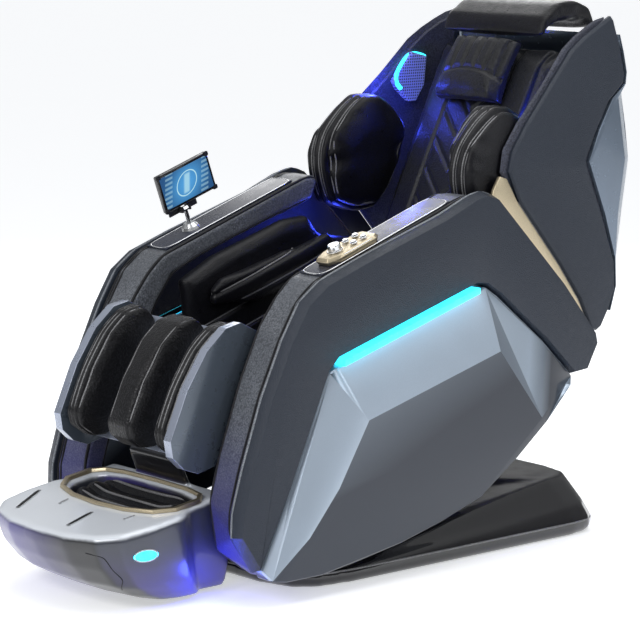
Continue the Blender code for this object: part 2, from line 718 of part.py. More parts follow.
def make_back_frame():
    rail = ((0.615, GAP), (PAD_LOW - 0.004, GAP), (-0.150, -0.045), (-0.165, -0.061), (-0.184, -0.058),
            (-0.195, -0.040), (-0.188, -0.015), (-0.150, RAIL_DEPTH), (0.615, RAIL_DEPTH))
    made = back_slab("back_frame", rail, -LUG_OUT, -LUG_IN, (STEEL, 0.4, 0.8))
    join(made, back_slab("back_rail_right", rail, LUG_IN, LUG_OUT))
    for i, along in enumerate((PAD_LOW + 0.005, 0.600)):
        centre = back_point(along, RAIL_DEPTH / 2)
        reach = WING_IN - lean(centre.y + BAR_RADIUS) - GAP
        join(made, tube(f"back_bar_{i}", centre, BAR_RADIUS, -reach, reach))
    for name, sign in sides():
        hole = tube(f"recline_hole_{name}", side(RECLINE_AXIS), PIN_RADIUS + PIN_GAP, *span(sign, FRAME_IN, HALF))
        cut(made, hole)
    return made


def make_massage_unit():
    half = LUG_IN - RUNNING_GAP
    reach = CARRIAGE_LENGTH / 2
    wall = 0.010
    deep = ARM_PIVOT_DEPTH + 0.048
    plate_at = ARM_PIVOT_DEPTH + 0.025
    mid = CARRIAGE_AT

    def at(points):
        return [(mid + s, d) for s, d in points]

    carriage = back_slab("massage_carriage", at(((-reach, plate_at), (reach, plate_at), (reach, deep), (-reach, deep))),
                         -half, half, (BLACK, 0.5))
    short = reach - 0.001
    runner = at(((-short, 0.004), (short, 0.004), (short, plate_at + 0.004), (-short, plate_at + 0.004)))
    for name, sign in sides():
        join(carriage, back_slab(f"runner_{name}", runner, *span(sign, half - wall, half - 0.001)))
    join(carriage, tube("massage_rod", back_point(mid, ARM_PIVOT_DEPTH), MASSAGE_ROD, -half + 0.004, half - 0.004))
    made = [carriage]
    d = ROLLER_DEPTH
    bar = at(((-ROLLER_SPREAD - 0.008, d - 0.007), (-ROLLER_SPREAD + 0.008, d - 0.007), (0.0, d + 0.001),
              (ROLLER_SPREAD - 0.008, d - 0.007), (ROLLER_SPREAD + 0.008, d - 0.007),
              (ROLLER_SPREAD + 0.008, d + 0.007), (0.012, d + 0.024), (-0.012, d + 0.024),
              (-ROLLER_SPREAD - 0.008, d + 0.007)))
    arm_in = FRAME_IN * MASSAGE_ARM_AT
    arm_out = arm_in + MASSAGE_ARM_WIDTH
    width = FRAME_IN * ROLLER_SHARE
    for name, sign in sides():
        arm = back_slab(f"massage_arm_{name}", bar, *span(sign, arm_in, arm_out), (STEEL, 0.35, 0.9))
        for end, along in (("low", -ROLLER_SPREAD), ("high", ROLLER_SPREAD)):
            centre = back_point(mid + along, ROLLER_DEPTH)
            start = arm_out + RUNNING_GAP / 2
            pin = tube(f"roller_pin_{name}_{end}", centre, ROLLER_PIN,
                       *span(sign, arm_in + 0.004, start + width + 0.002), sides=12)
            join(arm, pin)
            made.append(make_roller(f"roller_{name}_{end}", centre, sign, start, width))
        hole = tube(f"arm_hole_{name}", back_point(mid, ARM_PIVOT_DEPTH), MASSAGE_ROD + PIN_GAP,
                    *span(sign, 0.0, half))
        cut(arm, hole)
        made.append(arm)
    return made


def make_roller(name, centre, sign, start, width):
    bore = ROLLER_PIN + PIN_GAP
    profile = [(bore, width), (ROLLER_RADIUS * 0.8, width), (ROLLER_RADIUS, width * 0.7),
               (ROLLER_RADIUS, width * 0.3), (ROLLER_RADIUS * 0.8, 0.0), (bore, 0.0)]
    data = bpy.data.meshes.new(name)
    count = len(profile)
    data.from_pydata([(r, 0.0, z) for r, z in profile], [(i, (i + 1) % count) for i in range(count)], [])
    made = add(name, data, (BLACK, 0.35))
    screw = made.modifiers.new("Screw", "SCREW")
    screw.steps = 20
    screw.render_steps = 20
    screw.use_merge_vertices = True
    screw.merge_threshold = 0.0001
    turn = Matrix.Rotation(sign * math.pi / 2, 4, "Y")
    made.matrix_world = Matrix.Translation((sign * start, *centre)) @ turn
    return made


PAD_SECTIONS = ((PAD_LOW, 0.034), (-0.050, 0.056), (0.090, 0.072), (0.250, 0.072), (0.430, 0.068), (0.560, 0.062),
                (PAD_HIGH, 0.034))


def make_back_pad():
    half = WING_IN - 0.048
    rings = []
    for x, share in ((-1.0, 0.24), (-0.76, 0.34), (-0.68, 0.86), (-0.28, 1.0), (0.28, 1.0), (0.68, 0.86),
                     (0.76, 0.34), (1.0, 0.24)):
        front = [back_point(s, -t * share) for s, t in reversed(PAD_SECTIONS)]
        rear = [back_point(PAD_LOW, 0.0), back_point(PAD_HIGH, 0.0)]
        rings.append([(x * half, *p) for p in front + rear])
    return loft("back_pad", rings, (BLACK, 0.5))


def make_head_pillow():
    rows = ((0.448, 0.8), (0.468, 1.0), (0.533, 0.92), (0.593, 0.8), (0.605, 0.7))
    rings = []
    for x, share in ((-0.105, 0.45), (-0.088, 0.9), (-0.04, 1.0), (0.04, 1.0), (0.088, 0.9), (0.105, 0.45)):
        base = -0.072
        front = [back_point(s, base - 0.056 * share * f) for s, f in reversed(rows)]
        rear = [back_point(rows[0][0], base), back_point(rows[-1][0], base)]
        rings.append([(x, *p) for p in front + rear])
    return loft("head_pillow", rings, (BLACK, 0.5))


WING_FRONT_OUT = ((65.6, 116.0), (62.7, 115.4), (59.2, 113.9), (55.3, 111.9), (51.5, 109.4), (43.9, 101.6),
                  (35.6, 94.1), (30.7, 88.6), (29.3, 83.9))
WING_FRONT_IN = ((65.2, 114.8), (63.0, 114.2), (60.2, 113.0), (56.6, 111.0), (53.2, 108.4), (45.6, 100.8),
                 (37.4, 93.2), (32.4, 87.9), (31.0, 83.9))
WING_REAR = ((33.5, 77.3), (45.0, 64.0), (55.0, 51.0), (59.0, 50.6), (61.0, 54.0), (62.2, 60.0), (63.6, 72.0),
             (65.4, 83.0), (65.6, 90.0), (65.4, 97.0), (66.4, 103.6), (66.0, 109.0))
PANEL_FRONT = ((66.6, 116.2), (64.4, 115.2), (61.2, 113.6), (57.1, 111.6), (53.2, 109.1), (45.6, 101.5),
               (37.7, 94.0), (32.7, 88.3), (31.0, 83.9))
PANEL_REAR = ((34.1, 77.2), (40.3, 69.8), (46.6, 62.6), (53.0, 54.1), (56.2, 48.0), (56.9, 46.6), (58.7, 46.4),
              (60.1, 47.2), (62.3, 50.8), (64.2, 55.2), (63.9, 61.5), (60.1, 71.6), (54.8, 83.6), (54.7, 85.2),
              (58.9, 91.4), (63.4, 97.3), (68.6, 101.2), (69.3, 103.2), (68.6, 109.5), (67.4, 115.2))


def lean(height):
    """How far a wing stands in towards the middle plane at a height in metres."""
    return WING_LEAN * max(height - side((0.0, WING_LEAN_FROM)).y, 0.0)


def leaning(made):
    """Folds a piece of the back inwards above the height where the wings start to lean."""
    work = bmesh.new()
    work.from_mesh(made.data)
    fold = (0.0, 0.0, side((0.0, WING_LEAN_FROM)).y)
    bmesh.ops.bisect_plane(work, geom=work.verts[:] + work.edges[:] + work.faces[:], plane_co=fold,
                           plane_no=(0.0, 0.0, 1.0), dist=1e-6)
    for vertex in work.verts:
        vertex.co.x -= math.copysign(lean(vertex.co.z), vertex.co.x)
    work.to_mesh(made.data)
    work.free()
    return made


def make_wing_rim(name, sign):
    outer, inner = WING_FRONT_OUT + WING_REAR, WING_FRONT_IN + WING_REAR
    low, high = WING_IN, WING_MID - GAP
    rings = [ring_at(sign * low, inset(inner, 0.4)), ring_at(sign * (low + 0.004), inner),
             ring_at(sign * (high - 0.004), outer), ring_at(sign * high, inset(outer, 0.4))]
    return leaning(loft(f"wing_rim_{name}", rings, (GREY_LEATHER, 0.5)))


def make_wing_panel(name, sign):
    outline = PANEL_FRONT + PANEL_REAR
    rings = [ring_at(sign * WING_MID, outline), ring_at(sign * (WING_OUT - 0.005), outline),
             ring_at(sign * WING_OUT, inset(outline, 0.5))]
    return leaning(loft(f"wing_panel_{name}", rings, (SLATE, 0.5, 0.2)))


GOLD_EDGE = ((30.2, 82.6), (33.7, 77.0), (39.9, 69.6), (46.2, 62.4), (52.6, 53.9), (55.7, 48.1), (56.4, 46.2))
GOLD_FRONT = ((54.0, 46.0), (47.5, 53.5), (37.0, 65.0), (25.6, 76.6), (26.4, 80.4), (28.2, 83.2))


def make_gold_trim(name, sign):
    outline = list(reversed(GOLD_EDGE + GOLD_FRONT))
    return plate(f"gold_trim_{name}", outline, *span(sign, WING_MID, WING_OUT - 0.002), (GOLD, 0.35, 0.9))


SHELL_LEVELS = ((50.5, 62.9, 65.0), (56.0, 64.6, 67.2), (62.3, 64.3, 67.8), (72.4, 60.9, 69.5), (84.6, 55.6, 71.5),
                (91.5, 59.8, 71.5), (98.0, 64.8, 71.2), (101.0, 69.3, 71.4), (103.6, 70.0, 71.5), (108.0, 69.6, 71.0),
                (112.0, 68.9, 70.0))


def make_back_shell():
    """Rear cover between and around the wings, open to the front."""
    rings = []
    for level, near, far in SHELL_LEVELS:
        front, z = side((near, level))
        rear = side((far, level))[0]
        turn = max(front + 0.002, rear - 0.045)
        corner = WING_IN - 0.035
        outer = [(WING_MID + 0.009, front), (WING_MID + 0.008, turn), (WING_MID - 0.008, max(turn, rear - 0.018)),
                 (corner, rear)]
        inner = [(corner, rear - 0.010), (WING_MID - 0.016, max(turn, rear - 0.024) - 0.002), (WING_MID, turn - 0.002),
                 (WING_MID, front - 0.001)]
        half = outer + [(0.0, rear + 0.003), (0.0, rear - 0.007)] + inner
        outside = half[:5]
        inside = half[5:]
        ring = outside + [(-x, y) for x, y in reversed(outside[:-1])]
        ring += [(-x, y) for x, y in reversed(inside[1:])] + inside
        rings.append([(x, y, z) for x, y in ring])
    return leaning(loft("back_shell", rings, (SILVER_BLUE, 0.25, 0.6)))


FLAP_HALF = 0.165


def make_head_flap():
    outline = ((54.0, 111.4), (55.6, 115.4), (60.0, 118.4), (65.5, 119.0), (70.0, 117.2), (71.8, 112.6),
               (70.6, 112.3), (68.6, 114.4), (65.4, 115.4), (60.5, 114.8), (57.2, 113.0), (55.6, 111.0))
    return soft_slab("head_flap", list(reversed(outline)), -FLAP_HALF, FLAP_HALF, (BLACK, 0.6), draw_in=0.3)


def make_shoulder_airbag(name, sign):
    outline = ((24.0, 72.5), (31.0, 70.2), (37.5, 70.7), (41.0, 74.0), (45.5, 81.0), (47.0, 87.0), (45.6, 91.0),
               (41.0, 95.2), (36.5, 98.0), (32.0, 98.0), (28.0, 95.0), (22.8, 89.5), (21.2, 84.5), (21.8, 79.5))
    return leaning(soft_slab(f"shoulder_airbag_{name}", outline, sign * (WING_IN - 0.098), sign * (WING_IN - 2 * GAP),
                             (BLACK, 0.45), corner=0.018, draw_in=1.2))


def make_speaker(name, sign):
    outline = list(reversed(((51.6, 106.4), (56.4, 105.2), (56.6, 98.4), (54.5, 94.6), (52.0, 94.6), (47.9, 97.8),
                             (46.5, 99.7), (47.7, 101.9))))
    rings = [ring_at(sign * (WING_IN - 2 * GAP), outline), ring_at(sign * (WING_IN - 0.010), outline),
             ring_at(sign * (WING_IN - 0.014), inset(outline, 0.5))]
    return leaning(loft(f"speaker_{name}", rings, ((0.35, 0.38, 0.55), 0.4)))


# ---- leg unit ------------------------------------------------------------------------------------

LEG_DOWN = (-0.485, -0.875)
LEG_RISE = 0.465
LEG_REAR = 0.029
LEG_BACK_WALL = 0.022
TONGUE_BACK = 0.016
TONGUE_FRONT = 0.0275


def leg_point(down, front):
    """(Y, Z) in metres of a place down the leg and in front of its hinge."""
    axis = side(LEG_AXIS)
    run = Vector(LEG_DOWN).normalized()
    stretch = axis.y / LEG_RISE
    return axis + run * down * stretch + Vector((run.y, -run.x)) * front


def leg_slab(name, outline, inner, outer, look=None):
    spots = [leg_point(*p) for p in outline]
    return loft(name, [[(x, *p) for p in spots] for x in (inner, outer)], look)


def make_leg_shell():
    rear, wall = LEG_REAR, LEG_REAR + LEG_BACK_WALL
    cheek = ((-0.046, rear), (0.232, rear), (0.262, 0.062), (0.268, 0.100), (0.258, 0.138), (0.230, 0.160),
             (0.120, 0.170), (0.030, 0.162), (-0.030, 0.140), (-0.056, 0.110), (-0.058, 0.060))
    made = leg_slab("leg_shell", ((-0.046, rear), (0.232, rear), (0.236, wall), (-0.050, wall)),
                    -LEG_HALF + 0.004, LEG_HALF - 0.004, (SILVER_BLUE, 0.3, 0.6))
    for name, sign in sides():
        join(made, leg_slab(f"leg_cheek_{name}", cheek, *span(sign, LEG_HALF - LEG_WALL, LEG_HALF)))
        lug = ((-0.034, rear + 0.004), (-0.020, -0.014), (0.0, -0.022), (0.016, -0.016), (0.044, rear + 0.004))
        join(made, leg_slab(f"leg_lug_{name}", lug, *span(sign, LUG_IN, LUG_OUT)))
        hole = tube(f"leg_hole_{name}", side(LEG_AXIS), PIN_RADIUS + PIN_GAP, *span(sign, FRAME_IN, LUG_OUT + 0.02))
        cut(made, hole)
    return made


PAD_FRONT = ((0.246, 0.140), (0.222, 0.163), (0.120, 0.173), (0.030, 0.166), (-0.028, 0.144), (-0.056, 0.112))


def make_calf_pads():
    floor = LEG_REAR + LEG_BACK_WALL + GAP
    outer = LEG_HALF - LEG_WALL - GAP
    inner = outer * 0.69
    middle = outer * 0.26
    made = []
    for name, low, high, height in (("left", -outer, -inner, 0.0), ("centre", -middle, middle, -0.012),
                                    ("right", inner, outer, 0.0)):
        outline = [(0.232, floor), (0.252, floor + 0.040)]
        outline += [(s, d + height) for s, d in PAD_FRONT] + [(-0.056, floor + 0.030), (-0.044, floor)]
        small = [(s * 0.96 + 0.004, floor + (d - floor) * 0.92 + (0.004 if d == floor else 0.0)) for s, d in outline]
        spots = [[leg_point(*p) for p in line] for line in (small, outline, outline, small)]
        places = (low, low + 0.010, high - 0.010, high)
        made.append(loft(f"calf_pad_{name}", [[(x, *p) for p in ring] for x, ring in zip(places, spots)],
                         (BLACK, 0.5)))
    return made


# ---- foot unit -----------------------------------------------------------------------------------

FOOT_PLAN = ((0.0, -73.5), (0.48, -72.9), (0.86, -70.6), (1.06, -66.6), (1.12, -60.0), (1.11, -52.0),
             (0.985, -48.4), (0.985, -38.0))
FOOT_TOP = ((-73.5, 15.8), (-38.0, 21.4))
FOOT_HEEL = -38.0
FOOT_LEVELS = ((1.2, -59.0, 0.88), (2.6, -63.0, 0.93), (5.2, -67.8, 0.97), (9.5, -71.6, 0.995))
RING_PLAN = ((0.0, -57.4), (0.42, -56.8), (0.74, -54.8), (0.89, -51.4), (0.89, -45.6), (0.78, -43.4), (0.52, -42.4),
             (0.0, -42.2))
RING_MIDDLE = -49.2


def foot_top(y):
    """Height of the foot unit's sloping top, in grid squares."""
    (y0, z0), (y1, z1) = FOOT_TOP
    return z0 + (z1 - z0) * (y - y0) / (y1 - y0)


def foot_ring_points(plan, scale, middle, height):
    """A closed plan of shares of the leg's half width, drawn in about its middle, at a height."""
    half = [(x * scale, middle + (y - middle) * scale) for x, y in plan]
    loop = half + [(-x, y) for x, y in reversed(half) if x]
    return [(x * LEG_HALF, *side((y, height(y)))) for x, y in loop]


def make_foot_shell():
    middle = (FOOT_PLAN[0][1] + FOOT_HEEL) / 2
    rings = []
    for level, front, share in FOOT_LEVELS:
        reach = (front - FOOT_HEEL) / (FOOT_PLAN[0][1] - FOOT_HEEL)
        plan = [(x * share, FOOT_HEEL + (y - FOOT_HEEL) * reach) for x, y in FOOT_PLAN]
        rings.append(foot_ring_points(plan, 1.0, middle, lambda y, level=level: level))
    rings += [
        foot_ring_points(FOOT_PLAN, 1.0, middle, lambda y: foot_top(y) - 2.4),
        foot_ring_points(FOOT_PLAN, 1.0, middle, lambda y: foot_top(y) - 0.8),
        foot_ring_points(FOOT_PLAN, 0.97, middle, foot_top),
    ]
    made = loft("foot_shell", rings, (SILVER_BLUE, 0.25, 0.6))
    sink = WELL_DEPTH * GRID_HEIGHT / HEIGHT
    well = loft("foot_well", [
        foot_ring_points(RING_PLAN, 0.90, RING_MIDDLE, lambda y: foot_top(RING_MIDDLE) - sink),
        foot_ring_points(RING_PLAN, 0.96, RING_MIDDLE, lambda y: foot_top(y) + 4.0)])
    cut(made, well)
    tongue = [leg_point(*p) for p in ((0.110, TONGUE_BACK), (0.110, TONGUE_FRONT), (0.245, TONGUE_FRONT))]
    foot_y, foot_z = side((-39.6, 18.6))
    tongue += [(foot_y, foot_z), (foot_y + 0.012, foot_z), leg_point(0.240, TONGUE_BACK)]
    half = LEG_HALF * 0.45
    join(made, loft("foot_tongue", [[(x, *p) for p in tongue] for x in (-half, half)]))
    return made


def make_foot_ring():
    """Trim ring around the foot well, resting on the shell's top."""
    lift = (GAP + 0.0002) * GRID_HEIGHT / HEIGHT
    rise = RING_HEIGHT * GRID_HEIGHT / HEIGHT
    rings = [
        foot_ring_points(RING_PLAN, 1.00, RING_MIDDLE, lambda y: foot_top(y) + lift),
        foot_ring_points(RING_PLAN, 1.08, RING_MIDDLE, lambda y: foot_top(y) + lift),
        foot_ring_points(RING_PLAN, 1.07, RING_MIDDLE, lambda y: foot_top(y) + rise),
        foot_ring_points(RING_PLAN, 1.01, RING_MIDDLE, lambda y: foot_top(y) + rise),
    ]
    count = len(rings[0])
    points = [p for ring in rings for p in ring]
    faces = []
    for k in range(4):
        first, second = k * count, (k + 1) % 4 * count
        faces += [[first + i, first + (i + 1) % count, second + (i + 1) % count, second + i] for i in range(count)]
    return mesh_object("foot_ring", points, faces, (GOLD, 0.3, 0.9))


def make_foot_pad():
    sink = (WELL_DEPTH - GAP) * GRID_HEIGHT / HEIGHT
    rings = [
        foot_ring_points(RING_PLAN, 0.885, RING_MIDDLE, lambda y: foot_top(RING_MIDDLE) - sink),
        foot_ring_points(RING_PLAN, 0.900, RING_MIDDLE, lambda y: foot_top(y) - 2.0),
        foot_ring_points(RING_PLAN, 0.86, RING_MIDDLE, lambda y: foot_top(y) - 0.4),
        foot_ring_points(RING_PLAN, 0.55, RING_MIDDLE, lambda y: foot_top(y) - 2.2),
    ]
    return loft("foot_pad", rings, (BLACK, 0.5))


# ---- assembly ------------------------------------------------------------------------------------

def hang_all(parent, *children):
    for child in children:
        hang(child, parent)


def build():
    tilt = axis_empty("axis_tilt", TILT_AXIS)
    recline = axis_empty("axis_recline", RECLINE_AXIS)
    leg = axis_empty("axis_leg", LEG_AXIS)
    make_base()
    make_carriage()
    make_actuator()
    hang_all(tilt, make_seat_frame(), make_seat_cushion())
    arm_makers = (make_side_panel, make_lower_cover, make_side_led, make_arm_pad, make_arm_top_panel,
                  make_inner_pad, make_forearm_airbag)
    back_makers = (make_wing_rim, make_wing_panel, make_gold_trim, make_shoulder_airbag, make_speaker)
    for name, sign in sides():
        hang_all(tilt, *(make(name, sign) for make in arm_makers))
        hang_all(recline, *(make(name, sign) for make in back_makers))
    hang_all(tilt, *make_controls(), *make_tablet())
    hang_all(recline, make_back_frame(), make_back_pad(), make_head_pillow(), make_back_shell(), make_head_flap(),
             *make_massage_unit())
    hang_all(leg, make_leg_shell(), *make_calf_pads(), make_foot_shell(), make_foot_ring(), make_foot_pad())


build()
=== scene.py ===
"""Massage chair: looks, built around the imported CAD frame. Metres, sitter faces -Y, +Z up."""

import json
import math

import bmesh
import bpy
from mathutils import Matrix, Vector
from mathutils.bvhtree import BVHTree


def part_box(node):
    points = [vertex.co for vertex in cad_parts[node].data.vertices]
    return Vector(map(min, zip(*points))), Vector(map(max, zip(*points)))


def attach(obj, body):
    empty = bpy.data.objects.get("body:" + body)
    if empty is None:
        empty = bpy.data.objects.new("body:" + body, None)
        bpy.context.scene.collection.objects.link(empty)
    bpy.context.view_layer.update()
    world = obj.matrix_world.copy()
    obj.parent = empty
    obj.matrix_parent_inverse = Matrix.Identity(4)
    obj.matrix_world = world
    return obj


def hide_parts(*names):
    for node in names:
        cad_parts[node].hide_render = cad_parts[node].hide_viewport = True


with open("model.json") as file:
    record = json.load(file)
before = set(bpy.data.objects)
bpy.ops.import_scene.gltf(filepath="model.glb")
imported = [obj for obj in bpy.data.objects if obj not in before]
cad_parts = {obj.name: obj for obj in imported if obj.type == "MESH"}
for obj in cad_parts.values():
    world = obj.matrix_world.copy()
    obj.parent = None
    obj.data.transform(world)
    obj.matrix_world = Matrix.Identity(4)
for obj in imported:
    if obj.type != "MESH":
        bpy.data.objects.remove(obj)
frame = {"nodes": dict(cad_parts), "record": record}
NODES = frame["nodes"]
RECORD = frame["record"]
BODY_OF = {n: body for body, nodes in RECORD["behaviour"]["bodies"].items() for n in nodes}
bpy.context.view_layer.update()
SIDES = (("left", -1), ("right", 1))


ARM_SLOPE = 0.353


# ---- materials -----------------------------------------------------------------------------------

class Look:
    """A Principled material and short calls for its nodes."""

    def __init__(self, name, colour, rough, metallic=0.0, coat=0.0, coat_rough=0.05, specular=0.5):
        self.material = bpy.data.materials.new(name)
        self.material.use_nodes = True
        self.material.diffuse_color = (*colour, 1.0)
        self.tree = self.material.node_tree
        self.shader = self.tree.nodes["Principled BSDF"]
        self.put(self.shader, **{"Base Color": (*colour, 1.0), "Roughness": rough, "Metallic": metallic,
                                 "Coat Weight": coat, "Coat Roughness": coat_rough,
                                 "Specular IOR Level": specular})
        self.place = self.tree.nodes.new("ShaderNodeTexCoord").outputs["Object"]
        self.height = None

    def put(self, node, **values):
        for key, value in values.items():
            if isinstance(value, bpy.types.NodeSocket):
                self.tree.links.new(value, node.inputs[key])
            else:
                node.inputs[key].default_value = value
        return node

    def stretched(self, scale):
        mapping = self.tree.nodes.new("ShaderNodeMapping")
        self.put(mapping, Vector=self.place, Scale=scale)
        return mapping.outputs["Vector"]

    def noise(self, scale, detail=3.0, rough=0.55, place=None):
        made = self.tree.nodes.new("ShaderNodeTexNoise")
        self.put(made, Vector=place or self.place, Scale=scale, Detail=detail, Roughness=rough)
        return made.outputs["Fac"]

    def cells(self, scale, feature="F1", output="Distance", place=None):
        made = self.tree.nodes.new("ShaderNodeTexVoronoi")
        made.feature = feature
        self.put(made, Vector=place or self.place, Scale=scale)
        return made.outputs[output]

    def spread(self, value, low, high, to_low=0.0, to_high=1.0, smooth=False):
        made = self.tree.nodes.new("ShaderNodeMapRange")
        if smooth:
            made.interpolation_type = "SMOOTHSTEP"
        for i, given in enumerate((value, low, high, to_low, to_high)):
            if isinstance(given, bpy.types.NodeSocket):
                self.tree.links.new(given, made.inputs[i])
            else:
                made.inputs[i].default_value = given
        return made.outputs[0]

    def maths(self, operation, a, b=0.0, c=0.0):
        made = self.tree.nodes.new("ShaderNodeMath")
        made.operation = operation
        for i, given in enumerate((a, b, c)):
            if isinstance(given, bpy.types.NodeSocket):
                self.tree.links.new(given, made.inputs[i])
            else:
                made.inputs[i].default_value = given
        return made.outputs[0]

    def axis(self, which):
        made = self.tree.nodes.new("ShaderNodeSeparateXYZ")
        self.tree.links.new(self.place, made.inputs[0])
        return made.outputs[which]

    def facing(self, which):
        """The surface's normal along one of the piece's own axes."""
        made = self.tree.nodes.new("ShaderNodeSeparateXYZ")
        self.tree.links.new(self.tree.nodes.new("ShaderNodeTexCoord").outputs["Normal"], made.inputs[0])
        return made.outputs[which]

    def mix(self, factor, first, second):
        made = self.tree.nodes.new("ShaderNodeMix")
        made.data_type = "RGBA"
        for i, given in ((0, factor), (6, first), (7, second)):
            if isinstance(given, bpy.types.NodeSocket):
                self.tree.links.new(given, made.inputs[i])
            elif i:
                made.inputs[i].default_value = (*given[:3], 1.0)
            else:
                made.inputs[i].default_value = given
        return made.outputs[2]

    def bump(self, height, distance, strength=1.0):
        made = self.tree.nodes.new("ShaderNodeBump")
        self.put(made, Height=height, Distance=distance, Strength=strength)
        if self.height is not None:
            self.tree.links.new(self.height, made.inputs["Normal"])
        self.height = made.outputs["Normal"]
        self.tree.links.new(self.height, self.shader.inputs["Normal"])

    def set(self, **values):
        self.put(self.shader, **{key.replace("_", " "): value for key, value in values.items()})
        return self


def shade(colour, factor):
    return tuple(min(1.0, c * factor) for c in colour)


def leather(name, colour, rough=0.42, grain=330.0, depth=0.0006, sheen=0.15, spark=0.0):
    """Grained leather: pebbles, fine pores, soft creases and a little colour drift."""
    look = Look(name, colour, rough, specular=0.27)
    pebble = look.spread(look.cells(grain), 0.0, 0.75)
    pores = look.noise(grain * 3.2, 2.0)
    drift = look.noise(7.0, 4.0)
    base = look.mix(look.spread(drift, 0.35, 0.65), shade(colour, 0.80), shade(colour, 1.22))
    base = look.mix(look.spread(pebble, 0.45, 0.95), base, shade(colour, 0.55))
    if spark:
        bright = look.spread(look.cells(grain * 1.4, output="Color"), 0.78, 1.0)
        base = look.mix(look.maths("MULTIPLY", bright, spark), base, shade(colour, 2.6))
    look.set(Base_Color=base, Sheen_Weight=sheen, Sheen_Roughness=0.5)
    look.set(Roughness=look.spread(look.noise(60.0, 3.0), 0.3, 0.7, rough - 0.07, rough + 0.09))
    look.bump(look.noise(24.0, 5.0, 0.6), 0.0022, 0.35)
    look.bump(look.maths("ADD", pebble, look.maths("MULTIPLY", pores, 0.35)), depth, 0.8)
    return look


def painted_metal(name, colour, rough=0.30, metallic=0.65, coat=0.5):
    """Metallic lacquer with small flakes and a faint orange peel."""
    look = Look(name, colour, rough, metallic, coat, 0.08)
    flake = look.spread(look.cells(1500.0, output="Color"), 0.2, 0.9)
    base = look.mix(flake, shade(colour, 0.95), shade(colour, 1.06))
    drift = look.spread(look.noise(4.0, 2.0), 0.3, 0.7)
    look.set(Base_Color=look.mix(drift, base, shade(colour, 0.92)))
    look.set(Roughness=look.spread(look.noise(35.0, 4.0), 0.3, 0.7, rough - 0.015, rough + 0.02))
    look.bump(look.noise(180.0, 1.0), 0.00006, 0.3)
    return look


def textured_plastic(name, colour, rough=0.5, metallic=0.15, grain=620.0, depth=0.0005):
    """Moulded plastic with a fine spark-eroded grain."""
    look = Look(name, colour, rough, metallic, specular=0.5)
    fine = look.noise(grain, 3.0, 0.7)
    specks = look.spread(look.cells(grain * 0.7), 0.1, 0.8)
    base = look.mix(look.spread(fine, 0.35, 0.68), shade(colour, 0.70), shade(colour, 1.42))
    look.set(Base_Color=look.mix(look.spread(look.noise(5.0, 3.0), 0.3, 0.7), base, colour))
    look.set(Roughness=look.spread(look.noise(90.0, 3.0), 0.3, 0.7, rough - 0.08, rough + 0.08))
    look.bump(look.maths("ADD", fine, specks), depth, 0.8)
    return look


def gloss_plastic(name, colour, rough=0.10, coat=0.8):
    """Polished plastic with a faint waviness, fingerprints and dust."""
    look = Look(name, colour, rough, 0.0, coat, 0.04, 0.45)
    smear = look.spread(look.noise(22.0, 5.0, 0.65), 0.45, 0.75)
    look.set(Roughness=look.maths("ADD", look.maths("MULTIPLY", smear, 0.10), rough))
    look.set(Base_Color=look.mix(look.spread(look.noise(150.0, 3.0), 0.5, 0.9), colour, shade(colour, 1.8)))
    look.bump(look.noise(14.0, 2.0), 0.0008, 0.25)
    return look


def base_plastic(name):
    """Polished black with a matte, finely grained rear plateau."""
    look = gloss_plastic(name, (0.008, 0.008, 0.010), 0.08)
    plateau = look.maths("MULTIPLY", look.spread(look.facing("Z"), 0.6, 0.9),
                         look.spread(look.axis("Y"), 0.20, 0.24))
    polish = look.shader.inputs["Roughness"].links[0].from_socket
    rough = look.maths("ADD", polish, look.maths("MULTIPLY", plateau, 0.5))
    look.set(Roughness=rough, Coat_Weight=look.spread(plateau, 0.0, 1.0, 0.8, 0.0))
    look.bump(look.noise(700.0, 2.0), 0.0002, 0.4)
    return look


def brushed_metal(name, colour, rough=0.32, along=(30.0, 6.0, 30.0), grain=90.0):
    """Metal with a directional brushed grain."""
    look = Look(name, colour, rough, 1.0)
    lines = look.noise(grain, 4.0, 0.7, look.stretched(along))
    speck = look.noise(800.0, 2.0)
    look.set(Base_Color=look.mix(look.spread(lines, 0.35, 0.65), shade(colour, 0.78), shade(colour, 1.15)))
    look.set(Roughness=look.spread(lines, 0.3, 0.7, rough - 0.10, rough + 0.12))
    look.bump(look.maths("ADD", lines, look.maths("MULTIPLY", speck, 0.5)), 0.0003, 0.7)
    return look


def outward_gold(name):
    """Brushed gold on the faces turned away from the sitter, and dark backing on those turned to them."""
    look = brushed_metal(name, (0.70, 0.60, 0.42), 0.34)
    outward = look.maths("MULTIPLY", look.facing("X"), look.maths("SIGN", look.axis("X")))
    base = look.shader.inputs["Base Color"].links[0].from_socket
    shown = look.spread(outward, -0.75, -0.60)
    look.set(Base_Color=look.mix(shown, (0.012, 0.012, 0.016), base), Metallic=shown)
    return look


def chrome(name, colour=(0.72, 0.73, 0.75), rough=0.10):
    look = Look(name, colour, rough, 1.0)
    look.set(Roughness=look.spread(look.noise(70.0, 4.0), 0.35, 0.75, rough, rough + 0.10))
    look.bump(look.noise(260.0, 2.0), 0.0001, 0.3)
    return look


def lamp(name, colour, strength):
    look = Look(name, shade(colour, 0.8), 0.35)
    ripple = look.spread(look.noise(55.0, 2.0), 0.3, 0.7, 0.75, 1.2)
    look.set(Emission_Color=(*colour, 1.0), Emission_Strength=look.maths("MULTIPLY", ripple, strength))
    return look


